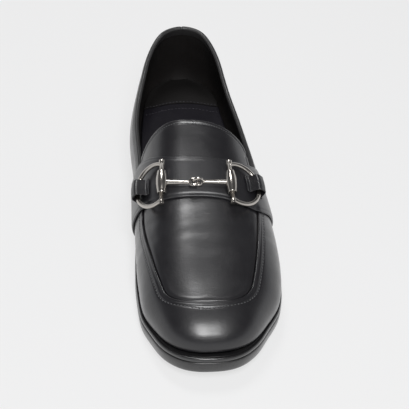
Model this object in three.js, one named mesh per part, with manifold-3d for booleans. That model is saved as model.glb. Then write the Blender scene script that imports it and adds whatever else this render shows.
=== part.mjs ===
// A man's bit loafer, left foot: a leather upper with a moccasin apron, a saddle strap and a snaffle bit, on a
// welted sole. Millimetres, +Z up. The toe points to -Y and the outer (lateral) side of the foot is +X.
import * as THREE from "three";
import { mergeVertices } from "three/addons/utils/BufferGeometryUtils.js";
import Module from "manifold-3d";

const wasm = await Module();
wasm.setup();

// Driving sizes
const soleLength = 298;
const ballWidth = 96; // upper at its foot, across the ball
const toeSwing = 3.2; // the tip of the toe lies this far to the inner side
const toeMargin = 5.5; // how far the sole stands out past the foot of the upper
const ballMargin = 3.6;
const waistMargin = 2.2;
const heelMargin = 3.5;
const seatHeight = 28; // floor to the foot of the upper at the heel
const outsoleThickness = 9.8;
const heelSoleThickness = 5.5; // the outsole thins towards the heel
const soleUndercut = 1.3; // the sole's wall leans in towards the floor
const weltThickness = 3.6;
const weltWidth = 9; // how far the welt reaches in under the upper
const topPieceThickness = 6;
const heelLength = 74;
const heelInset = 2.6; // the heel tapers in towards the floor
const breastBow = 4; // hollow of the heel's front face
const breastLean = 1.6; // its foot lies this much further back
const leatherWall = 2.2; // leather and lining together
const seamStep = 0.9; // the apron lies this much below the cut edge of the vamp
const collarBand = 5.5;
const collarStep = 0.5;
const insoleThickness = 3;
const instepHeight = 96; // floor to the top of the tongue
const backHeight = 54.5; // collar above the heel seat
const tongueThickness = 2.6;
const tongueDrop = 0.2; // the tongue lies this much below the ridge
const strapThickness = 1.8;
const ringRadius = 15.5; // to the middle of the ring's wire
const ringChord = 7.5; // from the ring's centre to its pin
const wireRadius = 1.5;
const pinLength = 34;
const pinCollar = 2.8; // length of the collar at each end of the pin
const pinCollarRadius = 2.1;
const hubLength = 17;
const hubRadius = 4;
const armRadius = 2.1; // at the hub, and the next one at the loop
const armEndRadius = 1.4;
const loopRadius = 3.1; // to the middle of the wire
const loopWire = 1.05;
const keeperWidth = 11;
const keeperThickness = 1.4;
const gap = 0.3; // clearance between pieces that touch

// Mesh fineness
const stations = 40;
const wallRows = 9;
const apronRows = 5;
const wireSides = 8;

// Foot of the upper in plan, as shares of the ball width, on each side of the centre line.
const outline = [
  { along: 0, lateral: 0.3, medial: 0.32 },
  { along: 0.1, lateral: 0.3, medial: 0.33 },
  { along: 0.2, lateral: 0.325, medial: 0.37 },
  { along: 0.3, lateral: 0.37, medial: 0.4 },
  { along: 0.4, lateral: 0.41, medial: 0.405 },
  { along: 0.5, lateral: 0.455, medial: 0.425 },
  { along: 0.6, lateral: 0.5, medial: 0.46 },
  { along: 0.68, lateral: 0.52, medial: 0.48 },
  { along: 0.76, lateral: 0.52, medial: 0.49 },
  { along: 0.84, lateral: 0.49, medial: 0.475 },
  { along: 0.92, lateral: 0.408, medial: 0.408 },
  { along: 1, lateral: 0.38, medial: 0.38 },
];
const toeCap = { length: 0.16, power: 2.55 };
const heelCap = { length: 0.135, power: 2 };

// Heights: the lift of the sole's underside as a share of its lift at the heel, and, as shares of the instep
// height, the ridge over the instep and the crown that the quarters lean towards. In shares of the ball width: how
// far the ridge lies to the inner side, and the bulge of the wall on each side.
const profile = [
  { along: 0, lift: 1, ridge: 1.3, crown: 1.2, full: 1, inner: 0, lateral: 0.034, medial: 0.034 },
  { along: 0.12, lift: 0.99, ridge: 1.28, crown: 1.14, full: 0.95, inner: 0, lateral: 0.034, medial: 0.04 },
  { along: 0.24, lift: 0.86, ridge: 1.2, crown: 1.03, full: 0.9, inner: 0.02, lateral: 0.04, medial: 0.068 },
  { along: 0.36, lift: 0.56, ridge: 1.09, crown: 0.98, full: 0.85, inner: 0.055, lateral: 0.042, medial: 0.07 },
  { along: 0.43, lift: 0.37, ridge: 0.99, crown: 0.95, full: 0.8, inner: 0.065, lateral: 0.036, medial: 0.058 },
  { along: 0.5, lift: 0.2, ridge: 0.87, crown: 0.87, full: 0.76, inner: 0.065, lateral: 0.03, medial: 0.052 },
  { along: 0.62, lift: 0.01, ridge: 0.725, crown: 0.725, full: 0.74, inner: 0.06, lateral: 0.02, medial: 0.03 },
  { along: 0.7, lift: 0, ridge: 0.65, crown: 0.65, full: 0.74, inner: 0.055, lateral: 0.017, medial: 0.02 },
  { along: 0.78, lift: 0, ridge: 0.575, crown: 0.575, full: 0.74, inner: 0.055, lateral: 0.015, medial: 0.016 },
  { along: 0.86, lift: 0.08, ridge: 0.5, crown: 0.5, full: 0.75, inner: 0.05, lateral: 0.014, medial: 0.014 },
  { along: 1, lift: 0.5, ridge: 0.4, crown: 0.4, full: 0.75, inner: 0.03, lateral: 0.012, medial: 0.012 },
];
const ridgeTurn = { heel: 0.16, toe: 0.76 }; // past these the ridge lags behind the outline

// Collar height above the foot of the upper, as a share of the back height.
const collar = [
  { along: 0, height: 1 },
  { along: 0.04, height: 0.98 },
  { along: 0.12, height: 0.8 },
  { along: 0.22, height: 0.62 },
  { along: 0.32, height: 0.58 },
  { along: 0.42, height: 0.63 },
  { along: 0.55, height: 0.75 },
];
const throatAlong = 0.58; // where collar and moccasin seam meet, under the strap
const collarStart = 0.49; // the collar band begins behind the strap

// Edge of the apron in plan, as shares of the ball width on each side; its front edge has rounded corners.
const apron = [
  { along: 0.5, lateral: 0.4, medial: 0.41 },
  { along: 0.58, lateral: 0.405, medial: 0.435 },
  { along: 0.67, lateral: 0.39, medial: 0.447 },
  { along: 0.78, lateral: 0.342, medial: 0.407 },
  { along: 0.86, lateral: 0.285, medial: 0.355 },
  { along: 0.92, lateral: 0.235, medial: 0.315 },
];
const apronFront = { along: 0.913, corner: 0.06, power: 2.6 };

// How far the sole stands out past the foot of the upper on each side.
const margins = [
  { along: 0, lateral: heelMargin, medial: heelMargin },
  { along: 0.2, lateral: heelMargin, medial: heelMargin },
  { along: 0.42, lateral: waistMargin, medial: waistMargin },
  { along: 0.7, lateral: 0.7 * ballMargin, medial: 0.62 * ballMargin },
  { along: 0.88, lateral: 0.45 * ballMargin, medial: 0.6 * ballMargin },
  { along: 0.97, lateral: 0.9 * ballMargin, medial: 1.1 * ballMargin },
  { along: 1, lateral: toeMargin, medial: toeMargin },
];

const heelY = soleLength / 2 - heelMargin;
const toeY = -soleLength / 2 + toeMargin;
const upperLength = heelY - toeY;
const bulgeHeight = 16;
const soleStack = outsoleThickness + weltThickness + 2 * gap;
const strapTop = gap + strapThickness; // above the upper

const clamp01 = (x) => Math.min(1, Math.max(0, x));
const smooth = (x) => clamp01(x) ** 2 * (3 - 2 * clamp01(x));

// One column of a table at a share along the shoe, smooth through its rows.
function at(table, column, along) {
  const last = table.length - 1;
  let k = 0;
  while (k < last - 1 && along > table[k + 1].along) k++;
  const [a, b] = [table[k], table[k + 1]];
  const span = b.along - a.along;
  const x = clamp01((along - a.along) / span);
  const slope = (i) => {
    const [p, q] = [table[Math.max(0, i - 1)], table[Math.min(last, i + 1)]];
    return ((q[column] - p[column]) / (q.along - p.along)) * span;
  };
  const [m, n] = [slope(k), slope(k + 1)];
  return (
    a[column] * (1 + 2 * x) * (1 - x) ** 2 +
    m * x * (1 - x) ** 2 +
    b[column] * x * x * (3 - 2 * x) +
    n * x * x * (x - 1)
  );
}

// How far the round ends pull the outline in, from 1 along the middle to 0 at the tips.
function endCap(along) {
  const toe = clamp01(1 - (1 - along) / toeCap.length);
  const heel = clamp01(1 - along / heelCap.length);
  return (1 - toe ** toeCap.power) ** (1 / toeCap.power) * (1 - heel ** heelCap.power) ** (1 / heelCap.power);
}

const sideName = (side) => (side > 0 ? "lateral" : "medial");
const yAt = (along) => heelY - along * upperLength;
const swing = (along) => -toeSwing * smooth((along - 0.78) / 0.22);
const halfWidth = (side, along) => at(outline, sideName(side), along) * ballWidth * endCap(along);
const footX = (side, along) => side * halfWidth(side, along) + swing(along);
const footZ = (along) => soleStack + Math.max(0, at(profile, "lift", along)) * (seatHeight - soleStack);

// A share along the shoe for a step of the way round, crowded towards both tips.
const alongOf = (step) => (1 - Math.cos(Math.PI * step)) / 2;

// Outline of the upper's foot in plan, with its outward direction.
function footPoint(side, step) {
  const point = (s, x) => new THREE.Vector2(footX(s, alongOf(x)), yAt(alongOf(x)));
  const reach = 0.004;
  const [back, front] = [Math.max(0, step - reach), Math.min(1, step + reach)];
  const a = step <= 0 ? point(-side, front) : point(side, back);
  const b = step >= 1 ? point(-side, back) : point(side, front);
  const way = b.sub(a).normalize();
  return { here: point(side, step), out: new THREE.Vector2(-way.y, way.x).multiplyScalar(side) };
}

// The ridge follows the outline along the middle and turns slower than it round the heel and toe.
function ridgeAlong(along) {
  const { heel, toe } = ridgeTurn;
  if (along > 0.994) return (1 + toe) / 2;
  if (along > toe) return toe + ((1 - toe) / 2) * (1 - (1 - (along - toe) / (1 - toe)) ** 2);
  if (along < heel) return heel - (heel / 2) * (1 - (along / heel) ** 2);
  return along;
}

// A point of the last: step runs from heel to toe, turn from the foot of the upper (0) to the ridge (1).
function lastPoint(side, step, turn, crown = "crown") {
  const along = alongOf(step);
  const { here, out } = footPoint(side, step);
  const ridge = ridgeAlong(along);
  const [zFoot, zRidge] = [footZ(along), at(profile, crown, ridge) * instepHeight];
  const reach = 0.01;
  const slope =
    along > ridgeTurn.toe
      ? ((at(profile, crown, ridge - reach) - at(profile, crown, ridge + reach)) * instepHeight) /
        (2 * reach * upperLength)
      : 0;
  const angle = (clamp01(turn) * Math.PI) / 2;
  const full = at(profile, "full", along);
  const inward = 1 - Math.max(0, Math.cos(angle)) ** full;
  const lift = Math.sin(angle) ** full;
  const height = (zRidge - zFoot) * lift;
  const bulge =
    at(profile, sideName(side), along) *
    ballWidth *
    (height / bulgeHeight) *
    Math.exp(1 - height / bulgeHeight) *
    Math.cos(angle);
  const x = here.x * (1 - inward) - at(profile, "inner", ridge) * ballWidth * inward + out.x * bulge;
  const y = here.y + (yAt(ridge) - here.y) * inward + out.y * bulge;
  const lean = slope * (y - yAt(ridge) - (here.y - yAt(ridge)) * (1 - lift));
  return new THREE.Vector3(x, y, zFoot + height + lean);
}

// Outward direction of one side of the last there.
function sideNormal(side, step, turn, crown) {
  const e = 0.003;
  const high = Math.min(turn, 1 - e);
  const s = Math.min(Math.max(step, e), 1 - e);
  const [low, top] = [Math.max(0, high - e), Math.min(1, high + e)];
  const du = lastPoint(side, s + e, high, crown).sub(lastPoint(side, s - e, high, crown));
  const dv = lastPoint(side, s, top, crown).sub(lastPoint(side, s, low, crown));
  const n = du.cross(dv).multiplyScalar(-side);
  if (turn <= 0) n.z = 0;
  return n.normalize();
}

// Outward direction of the last: the same from both sides where they meet.
function lastNormal(side, step, turn, crown = "crown") {
  if (turn >= 1) {
    const ridge = ridgeAlong(alongOf(step));
    const fall = (at(profile, crown, ridge - 0.01) - at(profile, crown, ridge + 0.01)) * instepHeight;
    return new THREE.Vector3(0, -fall, 0.02 * upperLength).normalize();
  }
  if (step > 0 && step < 1) return sideNormal(side, step, turn, crown);
  const n = sideNormal(1, step, turn, crown).add(sideNormal(-1, step, turn, crown));
  n.x = 0;
  return n.normalize();
}

// The last moved out by a distance along its normal.
function offLast(side, step, turn, distance, crown = "crown") {
  return lastPoint(side, step, turn, crown).addScaledVector(lastNormal(side, step, turn, crown), distance);
}

// Turn at which a column of the last passes a test that is true below it.
function turnWhere(below, low = 0, high = 1) {
  for (let i = 0; i < 40; i++) {
    const middle = (low + high) / 2;
    if (below(middle)) low = middle;
    else high = middle;
  }
  return (low + high) / 2;
}

// Half width of the apron in plan, on one side, at a place along the shoe; none in front of it.
function apronHalf(side, y) {
  const behind = apronFront.along - (heelY - y) / upperLength;
  if (behind <= 0) return 0;
  const { corner, power } = apronFront;
  const cap = (1 - clamp01(1 - behind / corner) ** power) ** (1 / power);
  return at(apron, sideName(side), apronFront.along - behind) * ballWidth * cap;
}

const stepOf = (along) => Math.acos(1 - 2 * along) / Math.PI;
const throatStep = stepOf(throatAlong);

// Moccasin seam, for columns in front of the throat.
const seamTurn = (side, step) =>
  turnWhere((turn) => {
    const p = lastPoint(side, step, turn);
    const half = apronHalf(side, p.y);
    return half === 0 || (step < 1 && side * p.x > half);
  });
const seamHeight = (side) => lastPoint(side, throatStep, seamTurn(side, throatStep)).z - footZ(throatAlong);

// Collar, for columns behind the throat: it runs into the end of the seam.
function collarTurn(side, step) {
  const along = alongOf(step);
  const missing = seamHeight(side) - at(collar, "height", throatAlong) * backHeight;
  const blend = smooth((along - collar[4].along) / (throatAlong - collar[4].along));
  const height = at(collar, "height", along) * backHeight + missing * blend;
  return turnWhere((turn) => lastPoint(side, step, turn).z < footZ(along) + height);
}
const edgeTurn = (side, step) => (step < throatStep ? collarTurn(side, step) : seamTurn(side, step));

// An open surface, gathered patch by patch, that is then given a thickness.
class Sheet {
  constructor() {
    this.outer = [];
    this.inner = [];
    this.faces = [];
    this.known = new Map();
  }
  point(outer, inner) {
    const key = outer.toArray().map((v) => Math.round(v * 500)).join();
    if (!this.known.has(key)) {
      this.known.set(key, this.outer.length);
      this.outer.push(outer);
      this.inner.push(inner);
    }
    return this.known.get(key);
  }
  // rows of points; flip turns the faces round
  patch(rows, flip = false) {
    for (let i = 0; i + 1 < rows.length; i++)
      for (let j = 0; j + 1 < rows[i].length; j++) {
        const quad = [rows[i][j], rows[i][j + 1], rows[i + 1][j + 1], rows[i + 1][j]];
        if (flip) quad.reverse();
        for (const face of [[quad[0], quad[1], quad[2]], [quad[0], quad[2], quad[3]]])
          if (new Set(face).size === 3) this.faces.push(face);
      }
  }
  geometry() {
    const shift = this.outer.length;
    const all = [...this.outer, ...this.inner];
    const edges = new Map();
    for (const f of this.faces)
      for (let k = 0; k < 3; k++) edges.set(f[k] + "_" + f[(k + 1) % 3], [f[k], f[(k + 1) % 3]]);
    const faces = [...this.faces, ...this.faces.map(([a, b, c]) => [a + shift, c + shift, b + shift])];
    for (const [a, b] of edges.values())
      if (!edges.has(b + "_" + a)) faces.push([b, a, a + shift], [b, a + shift, b + shift]);
    return meshGeometry(all, faces);
  }
}

function meshGeometry(points, faces) {
  const g = new THREE.BufferGeometry();
  g.setAttribute("position", new THREE.Float32BufferAttribute(points.flatMap((p) => p.toArray()), 3));
  g.setIndex(faces.flat());
  g.computeVertexNormals();
  return g;
}

// Even or eased spacing from 0 to 1.
const spread = (count) => Array.from({ length: count + 1 }, (_, i) => i / count);

// Steps round one side, with one exactly at the throat.
const sideSteps = (() => {
  const before = Math.round(throatStep * stations);
  return [
    ...spread(before).map((x) => x * throatStep),
    ...spread(stations - before).slice(1).map((x) => 1 - (1 - x) * (1 - throatStep)),
  ];
})();

// Upper: walls and quarters from the foot up to collar or seam, then the apron, one leather wall thick.
function upperGeometry() {
  const sheet = new Sheet();
  const add = (side, step, turn, out) =>
    sheet.point(offLast(side, step, turn, out), offLast(side, step, turn, out - leatherWall));
  for (const side of [1, -1]) {
    const walls = sideSteps.map((step) => {
      const top = edgeTurn(side, step);
      const high = lastPoint(side, step, top).distanceTo(lastPoint(side, step, top * 0.8)) / 0.2 || 1;
      const bandAt = top * (1 - collarBand / high);
      const raised = collarStep * smooth((stepOf(collarStart) - step) / 0.06);
      const rows = spread(wallRows).map((x) => add(side, step, bandAt * x ** 1.25, 0));
      return [...rows, ...[0.12, 0.5, 1].map((x) => add(side, step, bandAt + (top - bandAt) * x, raised))];
    });
    sheet.patch(walls, side < 0);
    const tops = sideSteps
      .filter((step) => step >= throatStep)
      .map((step) => {
        const top = edgeTurn(side, step);
        const edge = add(side, step, top, 0);
        const rows = spread(apronRows).map((x) => add(side, step, top + (1 - top) * x, -seamStep));
        return [edge, ...rows];
      });
    sheet.patch(tops, side < 0);
  }
  return sheet.geometry();
}

// Outline moved out from the foot of the upper by a distance, or by the sole's margin.
function outlinePoint(side, step, distance) {
  const { here, out } = footPoint(side, step);
  return here.addScaledVector(out, distance);
}
const rimPoint = (side, step, extra = 0) =>
  outlinePoint(side, step, at(margins, sideName(side), alongOf(step)) + extra);

// Level of the foot of the upper at a place along the shoe, and of the sole's layers under it.
function level(y) {
  const along = clamp01((heelY - y) / upperLength);
  const past = Math.max(0, toeY - y);
  return footZ(along) + past * ((footZ(1) - footZ(0.99)) / (0.01 * upperLength));
}
const weltTop = (y) => level(y) - gap;
const soleTop = (y) => weltTop(y) - weltThickness - gap;
function soleUnder(y) {
  const along = clamp01((heelY - y) / upperLength);
  const thin = smooth((0.5 - along) / 0.25) * (outsoleThickness - heelSoleThickness);
  return soleTop(y) - outsoleThickness + thin;
}

// A slab over rows of plan points that run across the shoe, between a top and an underside given along it.
function slab(rows, top, under) {
  const sheet = new Sheet();
  const raised = (p, height) => new THREE.Vector3(p.x, p.y, height(p.y));
  sheet.patch(rows.map((row) => row.map(([a, b]) => sheet.point(raised(a, top), raised(b, under)))));
  return sheet.geometry();
}

// A row across the shoe between the two sides' points, each point with its partner on the underside.
function across(upperEnds, lowerEnds, parts) {
  const along = (ends, x) => ends[0].clone().lerp(ends[1], x);
  return spread(parts).map((x) => [along(upperEnds, x), along(lowerEnds, x)]);
}
const plateRows = (edge, under = edge, parts = 2) =>
  sideSteps.map((step) => across([edge(1, step), edge(-1, step)], [under(1, step), under(-1, step)], parts));

const outsoleGeometry = () =>
  slab(plateRows(rimPoint, (side, step) => rimPoint(side, step, -soleUndercut)), soleTop, soleUnder);

// Welt: a ring with a rounded lip, swept round the foot of the upper.
function weltGeometry() {
  const lip = [
    { out: -0.9, fall: 0 },
    { out: 0.1, fall: 0.28 },
    { out: 0.1, fall: 0.72 },
    { out: -0.9, fall: 1 },
  ];
  const section = (side, step) => {
    const [middle, inner] = [0.45, 1].map((share) => outlinePoint(side, step, -share * weltWidth));
    const ring = lip.map(({ out, fall }) => [rimPoint(side, step, out), fall]);
    return [...ring, [middle, 1], [inner, 1], [inner, 0], [middle, 0]].map(
      ([p, fall]) => new THREE.Vector3(p.x, p.y, weltTop(p.y) - fall * weltThickness),
    );
  };
  const back = sideSteps.slice(1, -1).reverse();
  return closedSweep([...sideSteps.map((step) => section(1, step)), ...back.map((step) => section(-1, step))]);
}

// A tube through closed sections that lie round a closed path.
function closedSweep(sections) {
  const size = sections[0].length;
  const faces = [];
  sections.forEach((_, i) => {
    const here = i * size;
    const next = ((i + 1) % sections.length) * size;
    for (let k = 0; k < size; k++) {
      const n = (k + 1) % size;
      faces.push([here + k, next + n, here + n], [here + k, next + k, next + n]);
    }
  });
  return meshGeometry(sections.flat(), faces);
}

// Heel: the rim from the back to the breast, then the hollow front face, which leans back towards the floor.
const breastY = soleLength / 2 - heelLength;
function heelRows(topInset, underInset, topLean, underLean) {
  const clear = breastY + breastBow + 1;
  const steps = sideSteps.filter((step) => Math.min(rimPoint(1, step).y, rimPoint(-1, step).y) > clear);
  const ends = (step, inset) => [rimPoint(1, step, -inset), rimPoint(-1, step, -inset)];
  const rows = steps.map((step) => across(ends(step, topInset), ends(step, underInset), 4));
  const breast = rows.at(-1).map(([a, b], k) => {
    const bow = breastY + breastBow * (1 - ((k - 2) / 2) ** 2);
    return [new THREE.Vector2(a.x, bow + topLean), new THREE.Vector2(b.x, bow + underLean)];
  });
  return [...rows, breast];
}
function heelBlockGeometry() {
  const rows = heelRows(soleUndercut, heelInset, 0, breastLean);
  return slab(rows, (y) => soleUnder(y) - gap, () => topPieceThickness + gap);
}
function topPieceGeometry() {
  const rows = heelRows(heelInset, heelInset + 0.4, breastLean, 1.25 * breastLean);
  return slab(rows, () => topPieceThickness, () => 0);
}

// Insole: a plate inside the wall with a plug that fills the welt's hole.
function insoleGeometry() {
  const inner = (reach) => (side, step) => outlinePoint(side, step, -reach);
  const plate = slab(plateRows(inner(leatherWall + 1)), (y) => level(y) + insoleThickness, level);
  const rows = plateRows(inner(weltWidth + 0.5));
  const plug = slab(rows, (y) => level(y) + insoleThickness / 2, (y) => soleTop(y) + gap);
  return joined([plate, plug]);
}

function solidOf(geometry) {
  return wasm.Manifold.ofMesh(
    new wasm.Mesh({
      numProp: 3,
      vertProperties: new Float32Array(geometry.getAttribute("position").array),
      triVerts: new Uint32Array(geometry.getIndex().array),
    }),
  );
}

// One closed body out of pieces that run into one another.
function joined(geometries) {
  const mesh = wasm.Manifold.union(geometries.map(solidOf)).getMesh();
  const g = new THREE.BufferGeometry();
  g.setAttribute("position", new THREE.Float32BufferAttribute(mesh.vertProperties, 3));
  g.setIndex([...mesh.triVerts]);
  g.computeVertexNormals();
  return g;
}

// Tongue: the free end of the apron, from under the strap to its rounded top edge. Its sides stand clear of the
// quarters, at a turn of their own, and the top edge falls back towards the inner side.
const tongue = { start: 0.574, end: 0.453, slant: 0.014, corner: 0.034, power: 5.5 };
const tongueSides = { lateral: 0.45, medial: 0.28 };
function tongueGeometry() {
  const sheet = new Sheet();
  for (const side of [1, -1]) {
    const columns = [...spread(7).map((x) => x * 0.8), 0.87, 0.93, 0.97, 1];
    const rows = columns.map((u) => {
      const round = 1 - (1 - u ** tongue.power) ** (1 / tongue.power);
      const end = tongue.end + side * tongue.slant * u + tongue.corner * round;
      return spread(6).map((v) => {
        const along = tongue.start + (end - tongue.start) * v;
        const step = stepOf(along);
        const quarter = edgeTurn(side, Math.min(step, throatStep - 0.001));
        const edge = Math.max(tongueSides[sideName(side)], quarter + 0.035);
        const turn = 1 - u * (1 - edge);
        return sheet.point(
          offLast(side, step, turn, -tongueDrop, "ridge"),
          offLast(side, step, turn, -tongueDrop - tongueThickness, "ridge"),
        );
      });
    });
    sheet.patch(rows, side > 0);
  }
  return sheet.geometry();
}

// Strap: its two edges along the shoe at each turn of the last, as shares of the upper's length.
const strapEdges = [
  { along: 0, backLateral: 0.47, backMedial: 0.455, frontLateral: 0.59, frontMedial: 0.58 },
  { along: 0.15, backLateral: 0.488, backMedial: 0.466, frontLateral: 0.611, frontMedial: 0.594 },
  { along: 0.3, backLateral: 0.503, backMedial: 0.472, frontLateral: 0.632, frontMedial: 0.605 },
  { along: 0.5, backLateral: 0.532, backMedial: 0.5, frontLateral: 0.654, frontMedial: 0.62 },
  { along: 0.7, backLateral: 0.546, backMedial: 0.526, frontLateral: 0.653, frontMedial: 0.632 },
  { along: 0.85, backLateral: 0.547, backMedial: 0.538, frontLateral: 0.645, frontMedial: 0.637 },
  { along: 1, backLateral: 0.543, backMedial: 0.543, frontLateral: 0.639, frontMedial: 0.639 },
];
const strapFoot = 0.02; // turn at which the strap ends above the welt
function strapEdge(side, turn, edge) {
  return at(strapEdges, edge + (side > 0 ? "Lateral" : "Medial"), turn);
}
function strapGeometry() {
  const sheet = new Sheet();
  for (const side of [1, -1]) {
    const rows = spread(14).map((x) => {
      const turn = strapFoot + (1 - strapFoot) * (1 - x) ** 1.4;
      const [back, front] = ["back", "front"].map((edge) => strapEdge(side, turn, edge));
      return spread(7).map((v) => {
        const step = stepOf(front + (back - front) * v);
        return sheet.point(offLast(side, step, turn, strapTop), offLast(side, step, turn, gap));
      });
    });
    sheet.patch(rows, side > 0);
  }
  return sheet.geometry();
}

// Bit: where its hubs and its middle link lie on the last, and the height of each above the strap there.
const hubSpot = { lateral: { along: 0.614, turn: 0.802 }, medial: { along: 0.602, turn: 0.733 } };
const ringSpot = { lateral: { along: 0.606, turn: 0.52 }, medial: { along: 0.588, turn: 0.495 } };
const keeperSpot = { lateral: 0.598, medial: 0.581 }; // share along the shoe of the middle of each keeper
const linkAlong = 0.614;
const hubClear = 1; // between hub and strap
const ringClear = 2.2; // between ring and strap, over the ring's spot
const hubLift = strapTop + hubClear + hubRadius;
const ringLift = strapTop + ringClear + wireRadius;
const linkLift = strapTop + gap + loopRadius + loopWire;

function hubPoint(side) {
  const { along, turn } = hubSpot[sideName(side)];
  return offLast(side, stepOf(along), turn, hubLift);
}

// The ring's frame: out from the pin to the ring's far end, along the pin towards the heel, and up.
function ringFrame(side) {
  const { along, turn } = hubSpot[sideName(side)];
  const hub = hubPoint(side);
  const ring = ringSpot[sideName(side)];
  const out = offLast(side, stepOf(ring.along), ring.turn, ringLift).sub(hub).normalize();
  const behind = offLast(side, stepOf(along - 0.05), turn, hubLift);
  const ahead = offLast(side, stepOf(along + 0.05), turn, hubLift);
  const pin = behind.sub(ahead).normalize();
  pin.addScaledVector(out, -pin.dot(out)).normalize();
  const up = new THREE.Vector3().crossVectors(out, pin).multiplyScalar(side).normalize();
  return { hub, out, pin, up };
}
const inFrame = ({ hub, out, pin, up }, a, b, c = 0) =>
  hub.clone().addScaledVector(out, a).addScaledVector(pin, b).addScaledVector(up, c);

// A round bar through points with a radius at each, closed at both ends, or a ring when it is a loop. One corner
// of each section points the given way.
function bar(points, radii, corner, loop = false) {
  const count = points.length;
  const rings = points.map((p, i) => {
    const before = points[loop ? (i + count - 1) % count : Math.max(0, i - 1)];
    const after = points[loop ? (i + 1) % count : Math.min(count - 1, i + 1)];
    const way = after.clone().sub(before).normalize();
    const aside = corner.clone().addScaledVector(way, -corner.dot(way)).normalize();
    const third = new THREE.Vector3().crossVectors(way, aside);
    return spread(wireSides).slice(1).map((x) => {
      const angle = 2 * Math.PI * x;
      return p
        .clone()
        .addScaledVector(aside, Math.cos(angle) * radii[i])
        .addScaledVector(third, Math.sin(angle) * radii[i]);
    });
  });
  if (loop) return closedSweep(rings.map((ring) => ring.reverse()));
  const faces = [];
  const size = wireSides;
  const end = (count - 1) * size;
  const all = [...rings.flat(), points[0], points.at(-1)];
  for (let k = 0; k < size; k++) {
    const n = (k + 1) % size;
    for (let at = 0; at < end; at += size) {
      faces.push([at + k, at + n, at + size + n], [at + k, at + size + n, at + size + k]);
    }
    faces.push([all.length - 2, n, k], [all.length - 1, end + k, end + n]);
  }
  return meshGeometry(all, faces);
}

// Collars at the two ends of the pin, as distances from its end and radii; the barrel of the hub, as shares.
const pinStops = [
  { in: 0, radius: wireRadius },
  { in: 0.22 * pinCollar, radius: pinCollarRadius },
  { in: 0.78 * pinCollar, radius: pinCollarRadius },
  { in: pinCollar, radius: wireRadius },
];
const hubStops = [
  { at: -0.5, radius: 0.62 },
  { at: -0.32, radius: 0.9 },
  { at: 0, radius: 1 },
  { at: 0.32, radius: 0.9 },
  { at: 0.5, radius: 0.62 },
];

function ringBar(frame) {
  const reach = Math.PI - Math.acos(ringChord / ringRadius);
  const points = spread(17).map((x) => {
    const angle = reach * (2 * x - 1);
    return inFrame(frame, ringChord + ringRadius * Math.cos(angle), ringRadius * Math.sin(angle));
  });
  return bar(points, points.map(() => wireRadius), frame.up);
}

function pinBar(frame) {
  const half = pinLength / 2;
  const front = pinStops.map((stop) => ({ at: stop.in - half, radius: stop.radius }));
  const back = pinStops.map((stop) => ({ at: half - stop.in, radius: stop.radius })).reverse();
  const stops = [...front, ...back];
  return bar(stops.map((stop) => inFrame(frame, 0, stop.at)), stops.map((stop) => stop.radius), frame.up);
}

function hubBar(frame) {
  const points = hubStops.map((stop) => inFrame(frame, 0, stop.at * hubLength));
  return bar(points, hubStops.map((stop) => stop.radius * hubRadius), frame.up);
}

// One half of the bit, cast in one piece: ring, pin, hub, arm and end loop. The two end loops pass through one
// another over the ridge, one lying flat and the other standing on edge.
const linkShift = loopRadius / 2;
function bitGeometry(side) {
  const frame = ringFrame(side);
  const link = offLast(1, stepOf(linkAlong), 1, linkLift);
  const toHub = frame.hub.clone().sub(link).setY(0).normalize();
  const centre = link.clone().addScaledVector(toHub, linkShift);
  const armEnd = centre.clone().addScaledVector(toHub, loopRadius);
  const armMiddle = frame.hub.clone().lerp(armEnd, 0.5);
  const radii = [armRadius, (armRadius + armEndRadius) / 2, armEndRadius];
  const arm = bar([frame.hub, armMiddle, armEnd], radii, frame.up);
  const plane = side > 0 ? new THREE.Vector3(0, 0, 1) : new THREE.Vector3(0, 1, 0);
  plane.addScaledVector(toHub, -plane.dot(toHub)).normalize();
  const loopPoints = spread(12).slice(1).map((x) => {
    const angle = 2 * Math.PI * x;
    const outward = toHub.clone().multiplyScalar(loopRadius * Math.cos(angle));
    return centre.clone().add(outward).addScaledVector(plane, loopRadius * Math.sin(angle));
  });
  const across = new THREE.Vector3().crossVectors(toHub, plane);
  const loop = bar(loopPoints, loopPoints.map(() => loopWire), across, true);
  return joined([ringBar(frame), pinBar(frame), hubBar(frame), arm, loop]);
}

// A keeper's run across the wire: how far inwards (-) or outwards (+) of it, and the share of its rise there.
const keeperArch = [
  { away: -8, share: 0 },
  { away: -6.3, share: 0.03 },
  { away: -5.1, share: 0.47 },
  { away: -3.6, share: 1.06 },
  { away: -0.6, share: 1.16 },
  { away: 1.9, share: 1 },
  { away: 2.7, share: 0.55 },
  { away: 3.5, share: 0.04 },
  { away: 4.6, share: 0 },
];

// Keeper: a leather band over the far end of a ring, its two feet on the strap.
function keeperGeometry(side) {
  const along = keeperSpot[sideName(side)];
  const wire = inFrame(ringFrame(side), ringChord + ringRadius, 0);
  const seat = (turn) => offLast(side, stepOf(along), turn, strapTop);
  // the turn straight under the wire
  const nearer = (turn) => seat(turn + 0.001).distanceTo(wire) < seat(turn).distanceTo(wire);
  const middle = turnWhere(nearer, 0.1, 0.9);
  const perTurn = seat(middle - 0.03).distanceTo(seat(middle + 0.03)) / 0.06;
  const rise = wire.distanceTo(seat(middle)) + wireRadius;
  const sheet = new Sheet();
  const rows = keeperArch.map(({ away, share }) => {
    const turn = middle - away / perTurn;
    return spread(2).map((v) => {
      const step = stepOf(along + ((v - 0.5) * keeperWidth) / upperLength);
      const low = strapTop + gap + rise * share;
      return sheet.point(offLast(side, step, turn, low + keeperThickness), offLast(side, step, turn, low));
    });
  });
  sheet.patch(rows, side < 0);
  return sheet.geometry();
}

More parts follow.
